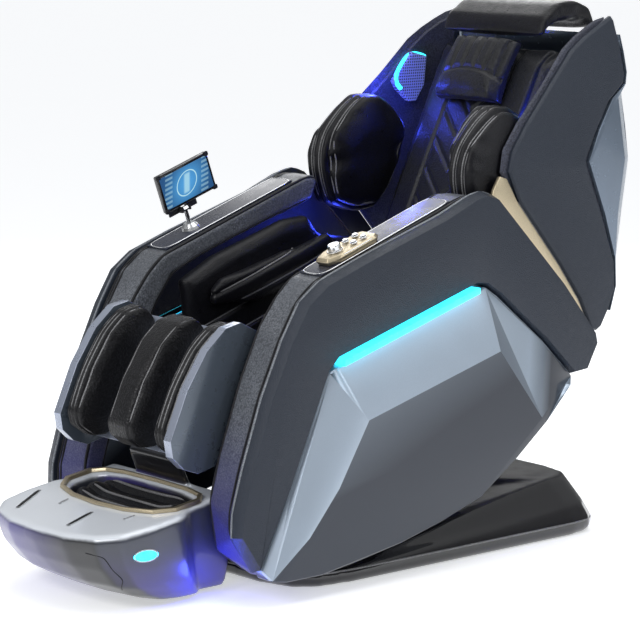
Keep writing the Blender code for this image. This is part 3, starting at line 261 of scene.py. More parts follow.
def outward_lamp(name, colour, strength):
    """A lamp that shines only from the faces turned away from the sitter."""
    look = lamp(name, colour, strength)
    outward = look.maths("MULTIPLY", look.facing("X"), look.maths("SIGN", look.axis("X")))
    shown = look.spread(outward, -0.25, -0.05)
    power = look.shader.inputs["Emission Strength"].links[0].from_socket
    look.set(Base_Color=look.mix(shown, (0.01, 0.01, 0.012), shade(colour, 0.8)),
             Emission_Strength=look.maths("MULTIPLY", power, shown))
    return look


def grey_band(name):
    """Silver-grey grained leather, with a painted blue-violet glow towards the floor."""
    look = leather(name, (0.135, 0.145, 0.165), 0.36, 240.0, 0.0007, 0.02, 0.5)
    # Painted blue-violet glow on the lower part of the band.
    painted_floor_glow = look.spread(look.axis("Z"), 0.08, 0.42, 1.0, 0.0, smooth=True)
    base = look.shader.inputs["Base Color"].links[0].from_socket
    look.set(Base_Color=look.mix(painted_floor_glow, base, (0.036, 0.034, 0.17)))
    return look


def rim_leather(name):
    look = leather(name, (0.060, 0.065, 0.092), 0.38, 260.0, 0.0006, 0.05, 0.4)
    return look


def facet_painted_light(name):
    """Metallic lacquer with painted light: a painted highlight where the facets tip towards the light and
    painted shade on the upright middle.
    """
    look = painted_metal(name, (0.50, 0.59, 0.70), 0.30, 0.45)
    lit_tilt = look.maths("SUBTRACT", look.facing("Z"), look.maths("MULTIPLY", look.facing("Y"), 0.5))
    base = look.shader.inputs["Base Color"].links[0].from_socket
    # Painted light: the upright middle gets painted shade, the facets tipped upwards a painted highlight.
    look.set(Base_Color=look.mix(look.spread(lit_tilt, 0.01, 0.17), (0.022, 0.028, 0.042), base))
    return look


def rim_lit_paint(name):
    """Metallic lacquer with painted shade on the flat outer cheeks and a painted highlight on their bevelled
    rims.
    """
    look = painted_metal(name, (0.36, 0.40, 0.50), 0.28, 0.55)
    flat = look.spread(look.maths("ABSOLUTE", look.facing("X")), 0.82, 0.97)
    base = look.shader.inputs["Base Color"].links[0].from_socket
    # Painted shade: the flat cheeks are painted dark, so the bevelled rims read as lit.
    look.set(Base_Color=look.mix(flat, base, (0.105, 0.130, 0.165)))
    return look


def foot_paint(name):
    """Silver on the upward faces; violet running to graphite across the front, and the sides more violet
    towards the floor.
    """
    look = painted_metal(name, (0.80, 0.84, 0.90), 0.30, 0.15, 0.5)
    upward = look.spread(look.facing("Z"), 0.15, 0.70, smooth=True)
    across = look.spread(look.axis("X"), -0.12, 0.13, smooth=True)
    side = look.mix(across, (0.060, 0.050, 0.22), (0.028, 0.029, 0.031))
    turned = look.spread(look.maths("ABSOLUTE", look.facing("X")), 0.35, 0.85, smooth=True)
    low = look.spread(look.axis("Z"), 0.03, 0.15, 1.0, 0.0, smooth=True)
    side = look.mix(turned, side, look.mix(low, (0.060, 0.066, 0.088), (0.085, 0.075, 0.20)))
    base = look.shader.inputs["Base Color"].links[0].from_socket
    base = look.mix(upward, side, base)
    tongue = look.spread(look.axis("Z"), 0.216, 0.224)
    well = look.spread(look.axis("Y"), -0.4206, -0.4190)
    look.set(Base_Color=look.mix(look.maths("MULTIPLY", tongue, well), base, (0.010, 0.010, 0.013)),
             Metallic=look.spread(upward, 0.0, 1.0, 0.25, 0.15))
    return look


def perforated(name):
    """Speaker cloth: round holes on a grid in lilac-blue plastic, with a painted blue glow on the plastic and
    painted shade in the holes.
    """
    look = Look(name, (0.30, 0.33, 0.62), 0.4)
    cell = look.tree.nodes.new("ShaderNodeVectorMath")
    cell.operation = "MULTIPLY"
    look.tree.links.new(look.place, cell.inputs[0])
    cell.inputs[1].default_value = (0.0, 150.0, 150.0)
    holes = look.tree.nodes.new("ShaderNodeTexVoronoi")
    look.put(holes, Vector=cell.outputs[0], Scale=1.0, Randomness=0.0)
    inside = look.spread(holes.outputs["Distance"], 0.26, 0.36)
    # Painted shade in the holes; the next line gives the plastic between them a painted blue glow.
    look.set(Base_Color=look.mix(inside, (0.02, 0.025, 0.07), (0.12, 0.15, 0.42)))
    look.set(Emission_Color=(0.22, 0.28, 0.85, 1.0), Emission_Strength=look.maths("MULTIPLY", inside, 0.35))
    look.bump(inside, 0.0012, 0.8)
    return look


def roller_rubber(name):
    look = textured_plastic(name, (0.045, 0.045, 0.05), 0.6, 0.0, 500.0)
    return look


def screen_look(name, centre):
    """Blue touch screen with a plain generic layout: a round dial between two columns of bars."""
    look = Look(name, (0.01, 0.02, 0.04), 0.12, coat=0.6)
    y, z = look.axis("Y"), look.axis("Z")
    across = look.maths("SUBTRACT", y, centre.y)
    upward = look.maths("SUBTRACT", look.maths("SUBTRACT", z, centre.z),
                        look.maths("MULTIPLY", across, ARM_SLOPE))
    far = look.maths("SQRT", look.maths("ADD", look.maths("MULTIPLY", across, across),
                                        look.maths("MULTIPLY", upward, upward)))
    glow = look.spread(far, 0.0, 0.075, 1.0, 0.12, smooth=True)
    base = look.mix(glow, (0.012, 0.05, 0.16), (0.10, 0.42, 0.85))
    ring = look.maths("COMPARE", far, 0.027, 0.0012)
    body = look.spread(look.maths("ABSOLUTE", across), 0.005, 0.010, 1.0, 0.0)
    tall = look.spread(look.maths("ABSOLUTE", upward), 0.019, 0.024, 1.0, 0.0)
    figure = look.maths("MULTIPLY", body, tall)
    columns = look.maths("COMPARE", look.maths("ABSOLUTE", across), 0.050, 0.010)
    rows = look.maths("GREATER_THAN", look.maths("FRACT", look.maths("MULTIPLY", upward, 95.0)), 0.5)
    bars = look.maths("MULTIPLY", columns, rows)
    marks = look.maths("MAXIMUM", look.maths("MAXIMUM", ring, look.maths("MULTIPLY", figure, 0.7)),
                       look.maths("MULTIPLY", bars, 0.35))
    colour = look.mix(marks, base, (0.55, 0.90, 1.0))
    look.set(Emission_Color=colour, Emission_Strength=0.85)
    return look


BLACK_LEATHER = leather("black_leather", (0.006, 0.006, 0.009), 0.34, 330.0, 0.0005, 0.02)
PAD_LEATHER = leather("pad_leather", (0.010, 0.010, 0.012), 0.36, 210.0, 0.0008, 0.03, 0.35)
BACK_LEATHER = leather("back_leather", (0.016, 0.017, 0.021), 0.34, 260.0, 0.0005, 0.04)
GREY_BAND = grey_band("grey_band")
RIM_LEATHER = rim_leather("rim_leather")
DARK_PIPING = leather("dark_piping", (0.010, 0.010, 0.013), 0.35, 500.0, 0.0003, 0.02)
GREY_PIPING = leather("grey_piping", (0.26, 0.26, 0.27), 0.36, 500.0, 0.0003, 0.05)
LIGHT_PIPING = leather("light_piping", (0.26, 0.28, 0.31), 0.34, 500.0, 0.0003, 0.05)
SLATE = textured_plastic("slate_plastic", (0.019, 0.026, 0.041), 0.42, 0.15)
COVER_PAINTED_LIGHT = facet_painted_light("cover_painted_light")
SHELL_PAINT = painted_metal("shell_paint", (0.20, 0.25, 0.32), 0.26, 0.60)
LEG_SHADED_PAINT = rim_lit_paint("leg_shaded_paint")
FOOT_PAINT = foot_paint("foot_paint")
BASE_BLACK = base_plastic("base_black")
GLOSS_BLACK = gloss_plastic("gloss_black", (0.010, 0.010, 0.012), 0.08)
SMOKED = gloss_plastic("smoked_panel", (0.012, 0.016, 0.034), 0.26, 0.0)
MATTE_BLACK = textured_plastic("matte_black", (0.010, 0.010, 0.012), 0.50, 0.0, 700.0, 0.0003)
GOLD = brushed_metal("brushed_gold", (0.70, 0.60, 0.42), 0.34)
STRIP_GOLD = outward_gold("strip_gold")
CHROME = chrome("chrome")
FRAME_STEEL = painted_metal("frame_steel", (0.030, 0.031, 0.034), 0.42, 0.5, 0.1)
CYAN = lamp("cyan_light", (0.04, 0.74, 1.0), 2.2)
LED_CYAN = outward_lamp("led_cyan", (0.04, 0.74, 1.0), 2.2)
LIGHT_TRIM = gloss_plastic("light_trim", (0.45, 0.47, 0.50), 0.18)
SPEAKER = perforated("speaker_cloth")
RUBBER = roller_rubber("roller_rubber")


# ---- mesh tools ----------------------------------------------------------------------------------

def link(name, data):
    made = bpy.data.objects.new(name, data)
    bpy.context.scene.collection.objects.link(made)
    return made


def paint(made, look):
    made.data.materials.clear()
    made.data.materials.append(look.material)
    return made


def smooth(made, angle=None):
    for face in made.data.polygons:
        face.use_smooth = True
    if angle is not None:
        bpy.context.view_layer.objects.active = made
        made.data.set_sharp_from_angle(angle=math.radians(angle))
    return made


def settle(made):
    """Applies the object's modifiers to its mesh."""
    bpy.context.view_layer.update()
    graph = bpy.context.evaluated_depsgraph_get()
    data = bpy.data.meshes.new_from_object(made.evaluated_get(graph))
    made.modifiers.clear()
    made.data = data
    return made


def copy_of(node, name, flat=1.5):
    """A node's solid as a clean mesh, its flat areas merged."""
    work = bmesh.new()
    work.from_mesh(NODES[node].data)
    bmesh.ops.remove_doubles(work, verts=work.verts, dist=1e-5)
    if flat:
        bmesh.ops.dissolve_limit(work, angle_limit=math.radians(flat), verts=work.verts, edges=work.edges)
    bmesh.ops.recalc_face_normals(work, faces=work.faces)
    data = bpy.data.meshes.new(name)
    work.to_mesh(data)
    work.free()
    return link(name, data)


def keep(made, node, look):
    """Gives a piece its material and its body."""
    paint(made, look)
    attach(made, BODY_OF[node])
    return made


def stand_for(made, *nodes):
    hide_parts(*nodes)
    return made


def hard(node, look, width=0.003, segments=3, flat=1.5, angle=22.0):
    """A node redrawn with rounded edges."""
    made = copy_of(node, f"{node}_shell", flat)
    bevel = made.modifiers.new("edges", "BEVEL")
    bevel.width = width
    bevel.segments = segments
    bevel.limit_method = "ANGLE"
    bevel.angle_limit = math.radians(angle)
    bevel.harden_normals = False
    bevel.miter_outer = "MITER_ARC"
    settle(made)
    smooth(made, 35.0)
    keep(made, node, look)
    return stand_for(made, node)


def remeshed(made, voxel, rounds=6, factor=0.5):
    work = made.modifiers.new("voxels", "REMESH")
    work.mode = "VOXEL"
    work.voxel_size = voxel
    if rounds:
        relax = made.modifiers.new("relax", "SMOOTH")
        relax.iterations = rounds
        relax.factor = factor
    return settle(made)


def organic(node, look, voxel=0.004, rounds=8):
    """A node redrawn as one smooth moulded or upholstered form."""
    made = copy_of(node, f"{node}_form", 0.0)
    remeshed(made, voxel, rounds)
    smooth(made)
    keep(made, node, look)
    return stand_for(made, node)


def subdivide(made, levels=1):
    finer = made.modifiers.new("finer", "SUBSURF")
    finer.levels = finer.render_levels = levels
    return settle(made)


def puffed(made, cap, pressure=4.0, frames=20):
    """Swells a closed mesh by a short cloth run, and holds each point within a cap of its start."""
    before = [v.co.copy() for v in made.data.vertices]
    cloth = made.modifiers.new("cloth", "CLOTH")
    cloth.settings.use_pressure = True
    cloth.settings.uniform_pressure_force = pressure
    cloth.settings.effector_weights.gravity = 0.0
    cloth.settings.quality = 4
    cloth.settings.tension_stiffness = 12.0
    cloth.settings.bending_stiffness = 8.0
    cloth.collision_settings.use_self_collision = False
    cloth.point_cache.frame_start = 1
    cloth.point_cache.frame_end = frames
    scene = bpy.context.scene
    for step in range(1, frames + 1):
        scene.frame_set(step)
    settle(made)
    scene.frame_set(1)
    for vertex, start in zip(made.data.vertices, before):
        step = vertex.co - start
        if step.length > cap:
            vertex.co = start + step * (cap / step.length)
    return made


def shrunk(made, distance):
    """Draws a mesh in along its normals."""
    normals = [v.normal.copy() for v in made.data.vertices]
    for vertex, normal in zip(made.data.vertices, normals):
        vertex.co -= normal * distance
    return made


def soft(node, look, voxel=0.005, cap=0.012, room=0.004, rounds=4, detail=None):
    """An upholstered piece: the node's solid, remeshed, swollen as cloth, then sewn."""
    made = copy_of(node, f"{node}_skin", 0.0)
    remeshed(made, voxel, rounds)
    shrunk(made, room)
    puffed(made, cap)
    relax = made.modifiers.new("relax", "SMOOTH")
    relax.iterations = 12
    relax.factor = 0.5
    settle(made)
    subdivide(made)
    if detail is not None:
        detail(made)
    smooth(made)
    keep(made, node, look)
    return stand_for(made, node)


def sew(made, lines):
    """Sinks seams into a mesh. Each is (point, unit normal, depth, width), or a function giving the depth."""
    mesh = made.data
    normals = [v.normal.copy() for v in mesh.vertices]
    for vertex, normal in zip(mesh.vertices, normals):
        sink = 0.0
        for line in lines:
            if callable(line):
                sink = max(sink, line(vertex.co, normal))
                continue
            point, square, depth, width = line
            off = abs((vertex.co - point).dot(square))
            if off < width:
                sink = max(sink, depth * (1.0 - off / width) ** 1.5)
        vertex.co -= normal * sink


def slices(made, point, square, test=None):
    """The lines along which a plane cuts a mesh, longest first, as lists of points."""
    work = bmesh.new()
    work.from_mesh(made.data)
    cut = bmesh.ops.bisect_plane(work, geom=work.verts[:] + work.edges[:] + work.faces[:],
                                 plane_co=point, plane_no=square, dist=1e-7)["geom_cut"]
    work.edges.index_update()
    line = sorted((e for e in cut if isinstance(e, bmesh.types.BMEdge)), key=lambda e: e.index)
    edges = dict.fromkeys(e for e in line if test is None or all(test(v.co) for v in e.verts))
    runs = []
    while edges:
        first = next(iter(edges))
        del edges[first]
        run = [first.verts[0], first.verts[1]]
        for end in (1, 0):
            while True:
                tip = run[-1] if end else run[0]
                after = next((e for e in tip.link_edges if e in edges), None)
                if after is None:
                    break
                del edges[after]
                other = after.other_vert(tip)
                run = run + [other] if end else [other] + run
        runs.append([v.co.copy() for v in run])
    work.free()
    return sorted(runs, key=lambda r: -length_of(r))


def length_of(points):
    return sum((b - a).length for a, b in zip(points, points[1:]))


def evenly(points, step, closed=False):
    """Points a step apart along a line, smoothed a little."""
    if closed:
        points = points + [points[0]]
    out, left = [points[0]], step
    for a, b in zip(points, points[1:]):
        span = (b - a).length
        at = left
        while at <= span and span > 1e-9:
            out.append(a.lerp(b, at / span))
            at += step
        left = at - span
    if not closed and (out[-1] - points[-1]).length > step * 0.3:
        out.append(points[-1])
    for _ in range(3):
        out = [p if (not closed and i in (0, len(out) - 1)) else
               (out[i - 1] + p * 2 + out[(i + 1) % len(out)]) / 4 for i, p in enumerate(out)]
    return out


def cord_line(name, points, radius, look, node, closed=False, step=0.012):
    """A round bead along a line: piping, a trim strip or a light."""
    points = evenly(points, step, closed)
    curve = bpy.data.curves.new(name, "CURVE")
    curve.dimensions = "3D"
    spline = curve.splines.new("NURBS")
    spline.points.add(len(points) - 1)
    for spot, place in zip(spline.points, points):
        spot.co = (*place, 1.0)
    spline.use_cyclic_u = closed
    spline.use_endpoint_u = not closed
    spline.order_u = 3
    curve.resolution_u = 3
    curve.bevel_depth = radius
    curve.bevel_resolution = 3
    curve.use_fill_caps = True
    made = link(name, curve)
    made.data.materials.append(look.material)
    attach(made, BODY_OF[node])
    return made


def middle(node):
    low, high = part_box(node)
    return (Vector(low) + Vector(high)) / 2


X_AXIS = Vector((1.0, 0.0, 0.0))


# ---- camera, light and floor ---------------------------------------------------------------------

def area_light(name, place, target, size, power, colour=(1.0, 1.0, 1.0)):
    data = bpy.data.lights.new(name, "AREA")
    data.shape = "RECTANGLE"
    data.size, data.size_y = size
    data.energy = power
    data.color = colour
    made = link(name, data)
    made.location = place
    made.rotation_euler = (Vector(target) - Vector(place)).to_track_quat("-Z", "Y").to_euler()
    return made


def sky(tree):
    """A soft tent: dim round the sides, bright overhead."""
    place = tree.nodes.new("ShaderNodeTexCoord").outputs["Generated"]
    parts = tree.nodes.new("ShaderNodeSeparateXYZ")
    ramp = tree.nodes.new("ShaderNodeValToRGB")
    tree.links.new(place, parts.inputs[0])
    tree.links.new(parts.outputs["Z"], ramp.inputs["Fac"])
    stops = ((0.0, 0.14), (0.18, 0.18), (0.42, 0.42), (1.0, 0.62))
    while len(ramp.color_ramp.elements) < len(stops):
        ramp.color_ramp.elements.new(0.5)
    for element, (at, level) in zip(ramp.color_ramp.elements, stops):
        element.position = at
        element.color = (level * 0.97, level * 0.985, level, 1.0)
    tree.links.new(ramp.outputs["Color"], tree.nodes["Background"].inputs["Color"])


def make_studio():
    data = bpy.data.cameras.new("camera")
    data.sensor_width = 36.0
    data.lens = 157.1
    data.clip_end = 200.0
    camera = link("camera", data)
    camera.location = (4.639, -3.862, 1.486)
    camera.rotation_euler = Vector((-0.7557, 0.6358, -0.1571)).to_track_quat("-Z", "Y").to_euler()
    bpy.context.scene.camera = camera
    world = bpy.data.worlds.new("studio")
    world.use_nodes = True
    sky(world.node_tree)
    bpy.context.scene.world = world
    bpy.context.scene.view_settings.view_transform = "Standard"
    middle_point = (0.0, 0.0, 0.6)
    area_light("key", (0.6, -3.9, 3.0), middle_point, (2.4, 1.6), 62.0)
    area_light("top", (0.4, 0.2, 3.6), middle_point, (3.0, 3.0), 42.0)
    area_light("fill", (3.6, 1.8, 2.6), middle_point, (1.6, 1.6), 22.0, (0.94, 0.97, 1.0))
    area_light("rear", (-2.8, 2.6, 2.6), middle_point, (2.0, 2.0), 40.0)
    for i, (place, power) in enumerate((((-0.228, 0.40, 1.02), 1.5), ((-0.21, 0.27, 0.70), 0.6),
                                        ((0.228, 0.50, 0.93), 1.6), ((-0.215, 0.47, 0.90), 0.4),
                                        ((0.255, -0.47, 0.06), 0.45))):
        glow = bpy.data.lights.new(f"glow_{i}", "POINT")
        glow.energy = power
        glow.color = (0.04, 0.07, 1.0)
        glow.shadow_soft_size = 0.02
        link(f"glow_{i}", glow).location = place
    bpy.ops.mesh.primitive_plane_add(size=120.0, location=(0.0, 0.0, 0.0))
    floor = bpy.context.object
    floor.name = "floor"
    ground = Look("floor_white", (0.93, 0.93, 0.94), 0.65)
    ground.set(Base_Color=ground.mix(ground.noise(1.5, 2.0), (0.925, 0.925, 0.935), (0.94, 0.94, 0.95)))
    ground.set(Emission_Color=(0.97, 0.985, 1.0, 1.0), Emission_Strength=0.52)
    paint(floor, ground)


make_studio()


# ---- lines and patches -----------------------------------------------------------------------------

def row(y, z):
    return Vector((0.0, y, z))


ARM_ALONG = row(0.9430, 0.3328)
ARM_UP = row(-0.3328, 0.9430)
LEG_PIVOT = row(-0.2765, 0.465)
LEG_FRONT = row(-0.8746, 0.4848)
BACK_LOW = row(0.3685, 0.52)
BACK_ALONG = row(0.4229, 0.9062)
BACK_OUT = row(-0.9062, 0.4229)


def crease(point, square, depth=0.004, width=0.009):
    """A straight seam for sew(): where a plane crosses the piece."""
    return (point, square.normalized(), depth, width)


SHORTEST_BEAD = 0.05
PIPED = []


def piping(made, node, point, square, radius, look, test=None, tag="piping"):
    """A bead laid along the longest line where a plane crosses a finished piece."""
    runs = slices(made, point, square, test)
    if runs and length_of(runs[0]) >= SHORTEST_BEAD:
        cord_line(f"{node}_{tag}_{len(PIPED)}_0", runs[0], radius, look, node, closed=test is None)
    PIPED.append(node)


def plate(name, node, corners, thick, look, bevel=0.0012):
    """A thin raised panel on a flat outline, given as a loop of points, thickened along its normal."""
    work = bmesh.new()
    face = work.faces.new([work.verts.new(p) for p in corners])
    work.normal_update()
    out = face.normal.copy()
    grown = bmesh.ops.extrude_face_region(work, geom=[face])["geom"]
    bmesh.ops.translate(work, verts=[v for v in grown if isinstance(v, bmesh.types.BMVert)], vec=out * thick)
    bmesh.ops.recalc_face_normals(work, faces=work.faces)
    bmesh.ops.bevel(work, geom=work.edges[:], offset=bevel, segments=2, affect="EDGES")
    data = bpy.data.meshes.new(name)
    work.to_mesh(data)
    work.free()
    made = link(name, data)
    smooth(made, 35.0)
    return keep(made, node, look)


def draped(made, points, direction, lift):
    """Points dropped on a mesh along a direction, then lifted off it."""
    tree = BVHTree.FromPolygons([v.co for v in made.data.vertices], [p.vertices for p in made.data.polygons])
    out = []
    for point in points:
        hit, normal, _, _ = tree.ray_cast(point - direction * 0.3, direction)
        if hit is not None:
            out.append(hit + normal * lift)
    return out


def patch(name, node, points, look):
    """A thin skin over a draped loop."""
    centre = sum(points, Vector()) / len(points)
    work = bmesh.new()
    rim = [work.verts.new(p) for p in points]
    hub = work.verts.new(centre)
    for a, b in zip(rim, rim[1:] + rim[:1]):
        work.faces.new((a, b, hub))
    bmesh.ops.solidify(work, geom=work.faces[:], thickness=0.0016)
    bmesh.ops.recalc_face_normals(work, faces=work.faces)
    data = bpy.data.meshes.new(name)
    work.to_mesh(data)
    work.free()
    return keep(smooth(link(name, data), 35.0), node, look)


def round_loop(centre, first, second, sizes, count=40, power=2.0):
    """Points round a (super)ellipse."""
    points = []
    for i in range(count):
        a = 2 * math.pi * i / count
        u = math.copysign(abs(math.cos(a)) ** (2 / power), math.cos(a))
        v = math.copysign(abs(math.sin(a)) ** (2 / power), math.sin(a))
        points.append(centre + first * (sizes[0] * u) + second * (sizes[1] * v))
    return points


# ---- hard pieces ---------------------------------------------------------------------------------

def dress_node(node, look):
    """A node whose shape is right keeps its solid."""
    made = NODES[node]
    made.data.materials.clear()
    made.data.materials.append(look.material)


panels, pads, wings, tops = {}, {}, {}, {}
for name, sign in SIDES:
    panels[name] = hard(f"side_panel_{name}", SLATE, 0.004)
    hard(f"lower_cover_{name}", COVER_PAINTED_LIGHT, 0.0025, angle=6.0)
    hard(f"side_led_{name}", LED_CYAN, 0.002)
    tops[name] = hard(f"arm_top_panel_{name}", SMOKED, 0.0015)
    wings[name] = hard(f"wing_panel_{name}", SLATE, 0.004)
    hard(f"gold_trim_{name}", STRIP_GOLD, 0.002)
    dress_node(f"massage_arm_{name}", CHROME)
    for end in ("low", "high"):
        dress_node(f"roller_{name}_{end}", RUBBER)
    pads[name] = organic(f"arm_pad_{name}", GREY_BAND, 0.0035, 8)
    hard(f"wing_rim_{name}", RIM_LEATHER, 0.0045, 4)
    speaker = hard(f"speaker_{name}", SPEAKER, 0.002)

    piping(pads[name], f"arm_pad_{name}", Vector((0.3065 * sign, 0, 0)), X_AXIS, 0.0036, DARK_PIPING)
    piping(pads[name], f"arm_pad_{name}", Vector((0.2975 * sign, 0, 0)), X_AXIS, 0.0030, DARK_PIPING)
    piping(pads[name], f"arm_pad_{name}", Vector((0.2225 * sign, 0, 0)), X_AXIS, 0.0036, DARK_PIPING)
    piping(panels[name], f"side_panel_{name}", Vector((0.3165 * sign, 0, 0)), X_AXIS, 0.0026, LIGHT_PIPING,
           lambda p: p.z > 0.105)
    piping(wings[name], f"wing_panel_{name}", row(0.0, 0.5) + X_AXIS * (0.3005 * sign),
           Vector((sign, 0.0, 0.0)), 0.0022, GREY_PIPING, lambda p: p.y < 0.62 and p.z < 0.835)
    piping(tops[name], f"arm_top_panel_{name}", row(-0.2077, 0.6595 + 0.0035), ARM_UP, 0.0014, CHROME)
    lamps = Vector((0.2372 * sign, 0.0, 0.0)) + X_AXIS * (0.012 * sign)
    piping(speaker, f"speaker_{name}", lamps, X_AXIS, 0.0052, CYAN,
           lambda p: p.z > 1.035 or (p.y < 0.515 and p.z > 0.965), tag="light")

hard("leg_shell", LEG_SHADED_PAINT, 0.012, 5)
foot = organic("foot_shell", FOOT_PAINT, 0.0045, 22)
base = organic("base_cover", BASE_BLACK, 0.006, 6)
hard("foot_ring", GOLD, 0.0012, 2, flat=0.0)
hard("back_shell", SHELL_PAINT, 0.003, 3)
pod = hard("control_pod", GOLD, 0.003, 4)
for node in ("seat_frame", "back_frame"):
    dress_node(node, FRAME_STEEL)
for node in ("base_frame", "slide_carriage", "tilt_actuator_body", "massage_carriage", "tablet_holder"):
    dress_node(node, MATTE_BLACK)
for node in ("tilt_actuator_rod", "tablet_stem", "tablet_socket", "control_knob", "button_1", "button_2",
             "button_3", "button_4"):
    dress_node(node, CHROME)

# The foot unit: two vents in its top, an oval lens on its nose and bright lines round its edges.
FOOT_ALONG = row(0.3550, 0.0560).normalized()
FOOT_UP = row(-0.0560, 0.3550).normalized()
FOOT_NOSE = row(-0.7265, 0.158)


def on_foot(x, along, lift=0.0):
    return FOOT_NOSE + FOOT_ALONG * along + FOOT_UP * lift + X_AXIS * x


def strip_loop(start, end, half):
    """A thin rounded strip between two points on the foot unit's top."""
    run = (end - start)
    side = run.normalized().cross(FOOT_UP) * half
    return round_loop((start + end) / 2, run / 2, side, (1.0, 1.0), 36, 6.0)


for i, (start, end, half, look) in enumerate((
        ((-0.135, 0.054), (-0.190, 0.150), 0.0055, MATTE_BLACK),
        ((0.060, 0.045), (0.037, 0.125), 0.0055, MATTE_BLACK),
        ((-0.074, 0.118), (-0.082, 0.148), 0.0028, GREY_PIPING),
        ((0.136, 0.132), (0.137, 0.160), 0.0028, GREY_PIPING))):
    loop = strip_loop(on_foot(*start), on_foot(*end), half)
    patch(f"foot_vent_{i}", "foot_shell", draped(foot, loop, -FOOT_UP, 0.0012), look)
    cord_line(f"foot_vent_rim_{i}", draped(foot, loop, -FOOT_UP, 0.0006), 0.0010, LIGHT_TRIM, "foot_shell",
              closed=True, step=0.005)
lens = round_loop(Vector((0.22, -0.607, 0.122)), row(1, 0), row(0, 1), (0.028, 0.0125), 36)
patch("foot_lens", "foot_shell", draped(foot, lens, -X_AXIS, 0.0016), CYAN)
cord_line("foot_lens_rim", draped(foot, lens, -X_AXIS, 0.0008), 0.0016, LIGHT_TRIM, "foot_shell", closed=True,
          step=0.005)
edge = [Vector((x, y, z)) for x, y, z in ((0.150, -0.712, 0.128), (0.186, -0.69, 0.124), (0.196, -0.68, 0.07),
                                         (0.170, -0.69, 0.040))]
edge = [a.lerp(b, t / 6) for a, b in zip(edge, edge[1:]) for t in range(6)]
cord_line("foot_front_line", draped(foot, edge, row(1, 0), 0.0002), 0.0010, DARK_PIPING, "foot_shell",
          step=0.006)

# The base: a plateau behind the carriage with a thin raised rim.
piping(base, "base_cover", row(0, 0.030), row(0, 1), 0.0022, GREY_PIPING, tag="rim")

# The pod: a collar round the knob, small raised keys' collars and an outline.
piping(pod, "control_pod", row(-0.1811, 0.6765 + 0.0105), ARM_UP, 0.0012, CHROME, tag="edge")
for node, size in (("control_knob", 0.0175), ("button_1", 0.0084), ("button_2", 0.0084), ("button_3", 0.0084),
                   ("button_4", 0.0084)):
    seat = middle(node)
    drop = (seat - row(-0.1811, 0.6762)).dot(ARM_UP)
    seat = seat - ARM_UP * (drop - 0.0163)
    cord_line(f"{node}_collar", round_loop(seat, X_AXIS, ARM_ALONG, (size, size), 24), 0.0012, CHROME,
              "control_pod", closed=True, step=0.004)


# ---- soft pieces ---------------------------------------------------------------------------------

def back_seams(point, normal):
    """Chevrons down the middle of the back with an upright seam to each side."""
    if normal.dot(BACK_OUT) < 0.2:
        return 0.0
    height = (point - BACK_LOW).dot(BACK_ALONG)
    x = abs(point.x)
    depth = 0.0
    if x < 0.082:
        for level in (0.08, 0.15, 0.22, 0.29, 0.36, 0.43):
            off = abs(height - level - x * 0.9) * 0.74
            if off < 0.009:
                depth = max(depth, 0.0055 * (1 - off / 0.009) ** 1.4)
    for line in (0.086, 0.160):
        off = abs(x - line)
        if off < 0.010:
            depth = max(depth, 0.006 * (1 - off / 0.010) ** 1.4)
    return depth


def pillow_seams(point, normal):
    """Upright channels above an arched seam, and a plain rounded lobe below it."""
    if normal.dot(BACK_OUT) < 0.1:
        return 0.0
    height = (point - BACK_LOW).dot(BACK_ALONG)
    x = abs(point.x)
    arch = 0.500 + 0.022 * (1 - (x / 0.105) ** 2)
    off = abs(height - arch)
    depth = 0.006 * (1 - off / 0.010) ** 1.4 if off < 0.010 else 0.0
    if height > arch:
        for line in (0.018, 0.054, 0.088):
            off = abs(x - line)
            if off < 0.010:
                depth = max(depth, 0.0065 * (1 - off / 0.010) ** 1.3)
    return depth


def seat_seams(point, normal):
    if normal.z < 0.3:
        return 0.0
    depth = 0.0
    for line in (0.055, 0.125):
        off = abs(abs(point.x) - line)
        if off < 0.010:
            depth = max(depth, 0.006 * (1 - off / 0.010) ** 1.4)
    if abs(point.x) < 0.125:
        for line in (-0.11, -0.03, 0.05, 0.13):
            off = abs(point.y - line)
            if off < 0.009:
                depth = max(depth, 0.0045 * (1 - off / 0.009) ** 1.4)
    return depth


def front_of_calf(p):
    return (p - LEG_PIVOT).dot(LEG_FRONT) > 0.075


def calf_pad(node, centre, lines, look):
    """Grooves run down the pad's front, each with a bead in it."""
    grooves = [crease(X_AXIS * (centre + x), X_AXIS, 0.0035, 0.007) for x in lines]
    made = soft(node, look, 0.0045, 0.007, 0.004, detail=lambda m: sew(m, grooves))
    for x in lines:
        piping(made, node, X_AXIS * (centre + x), X_AXIS, 0.0019, GREY_PIPING, front_of_calf)
    return made


def arm_bag(node, heights, look=BLACK_LEATHER):
    """A cushion along an armrest, seamed along its length."""
    low = middle(node)
    lines = [low + ARM_UP * h for h in heights]
    made = soft(node, look, 0.0055, 0.009, 0.004,
                detail=lambda m: sew(m, [crease(p, ARM_UP, 0.005, 0.010) for p in lines]))
    for p in lines:
        piping(made, node, p, ARM_UP, 0.0020, GREY_PIPING,
               lambda q: abs(q.x) < abs(low.x) + 0.004)
    return made


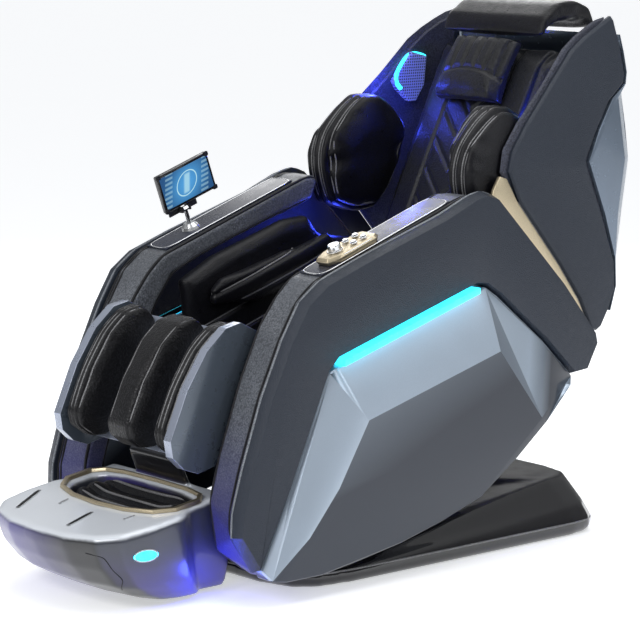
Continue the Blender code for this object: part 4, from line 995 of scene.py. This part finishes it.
soft("seat_cushion", BLACK_LEATHER, 0.006, 0.014, 0.006, detail=lambda m: sew(m, [seat_seams]))
soft("back_pad", BACK_LEATHER, 0.006, 0.014, 0.006, detail=lambda m: sew(m, [back_seams]))
soft("head_pillow", BACK_LEATHER, 0.004, 0.010, 0.004, detail=lambda m: sew(m, [pillow_seams]))
soft("head_flap", BLACK_LEATHER, 0.005, 0.006, 0.001)
wells = [row(-0.4205 - 0.1368 * k, 0.17) for k in (0.20, 0.48, 0.76)]
foot_pad = soft("foot_pad", BLACK_LEATHER, 0.0045, 0.004, 0.002,
                detail=lambda m: sew(m, [crease(p, row(1.0, 0.0), 0.006, 0.014) for p in wells]))
for p in wells:
    piping(foot_pad, "foot_pad", p + row(0.014, 0), row(1.0, 0.0), 0.0030, GREY_PIPING, lambda q: q.z > 0.165)
calf_pad("calf_pad_centre", 0.0, (-0.034, 0.034), PAD_LEATHER)
for name, sign in SIDES:
    calf_pad(f"calf_pad_{name}", 0.154 * sign, (-0.018, -0.006, 0.006, 0.018), PAD_LEATHER)
    arm_bag(f"inner_pad_{name}", (-0.055, -0.005, 0.045))
    arm_bag(f"forearm_airbag_{name}", (-0.022, 0.018))
    layers = [X_AXIS * (x * sign) for x in (0.200, 0.226, 0.252)]
    bag = soft(f"shoulder_airbag_{name}", BLACK_LEATHER, 0.0055, 0.012, 0.004, 16,
               detail=lambda m: sew(m, [crease(p, X_AXIS, 0.009, 0.012) for p in layers]))
    for p in layers:
        for step in (-0.0045, 0.0045):
            piping(bag, f"shoulder_airbag_{name}", p + X_AXIS * step, X_AXIS, 0.0018, GREY_PIPING)


# ---- tablet --------------------------------------------------------------------------------------

hard("tablet", GLOSS_BLACK, 0.003)
screen_middle = middle("tablet")
SCREEN = screen_look("tablet_screen", screen_middle)
face_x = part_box("tablet")[1][0]
glass = [Vector((face_x - 0.0006, screen_middle.y, screen_middle.z)) + ARM_ALONG * u + ARM_UP * v
         for u, v in ((-0.068, -0.037), (0.068, -0.037), (0.068, 0.037), (-0.068, 0.037))]
plate("tablet_glass", "tablet", glass, 0.0014, SCREEN, 0.0004)
for i, (u, v) in enumerate(((-0.070, -0.040), (0.070, -0.040), (0.070, 0.040), (-0.070, 0.040))):
    spot = Vector((face_x - 0.004, screen_middle.y, screen_middle.z)) + ARM_ALONG * u + ARM_UP * v
    clip = [spot + ARM_ALONG * a + ARM_UP * b for a, b in ((-0.006, -0.005), (0.006, -0.005), (0.006, 0.005),
                                                          (-0.006, 0.005))]
    plate(f"tablet_clip_{i}", "tablet", clip, 0.0072, MATTE_BLACK, 0.0015)
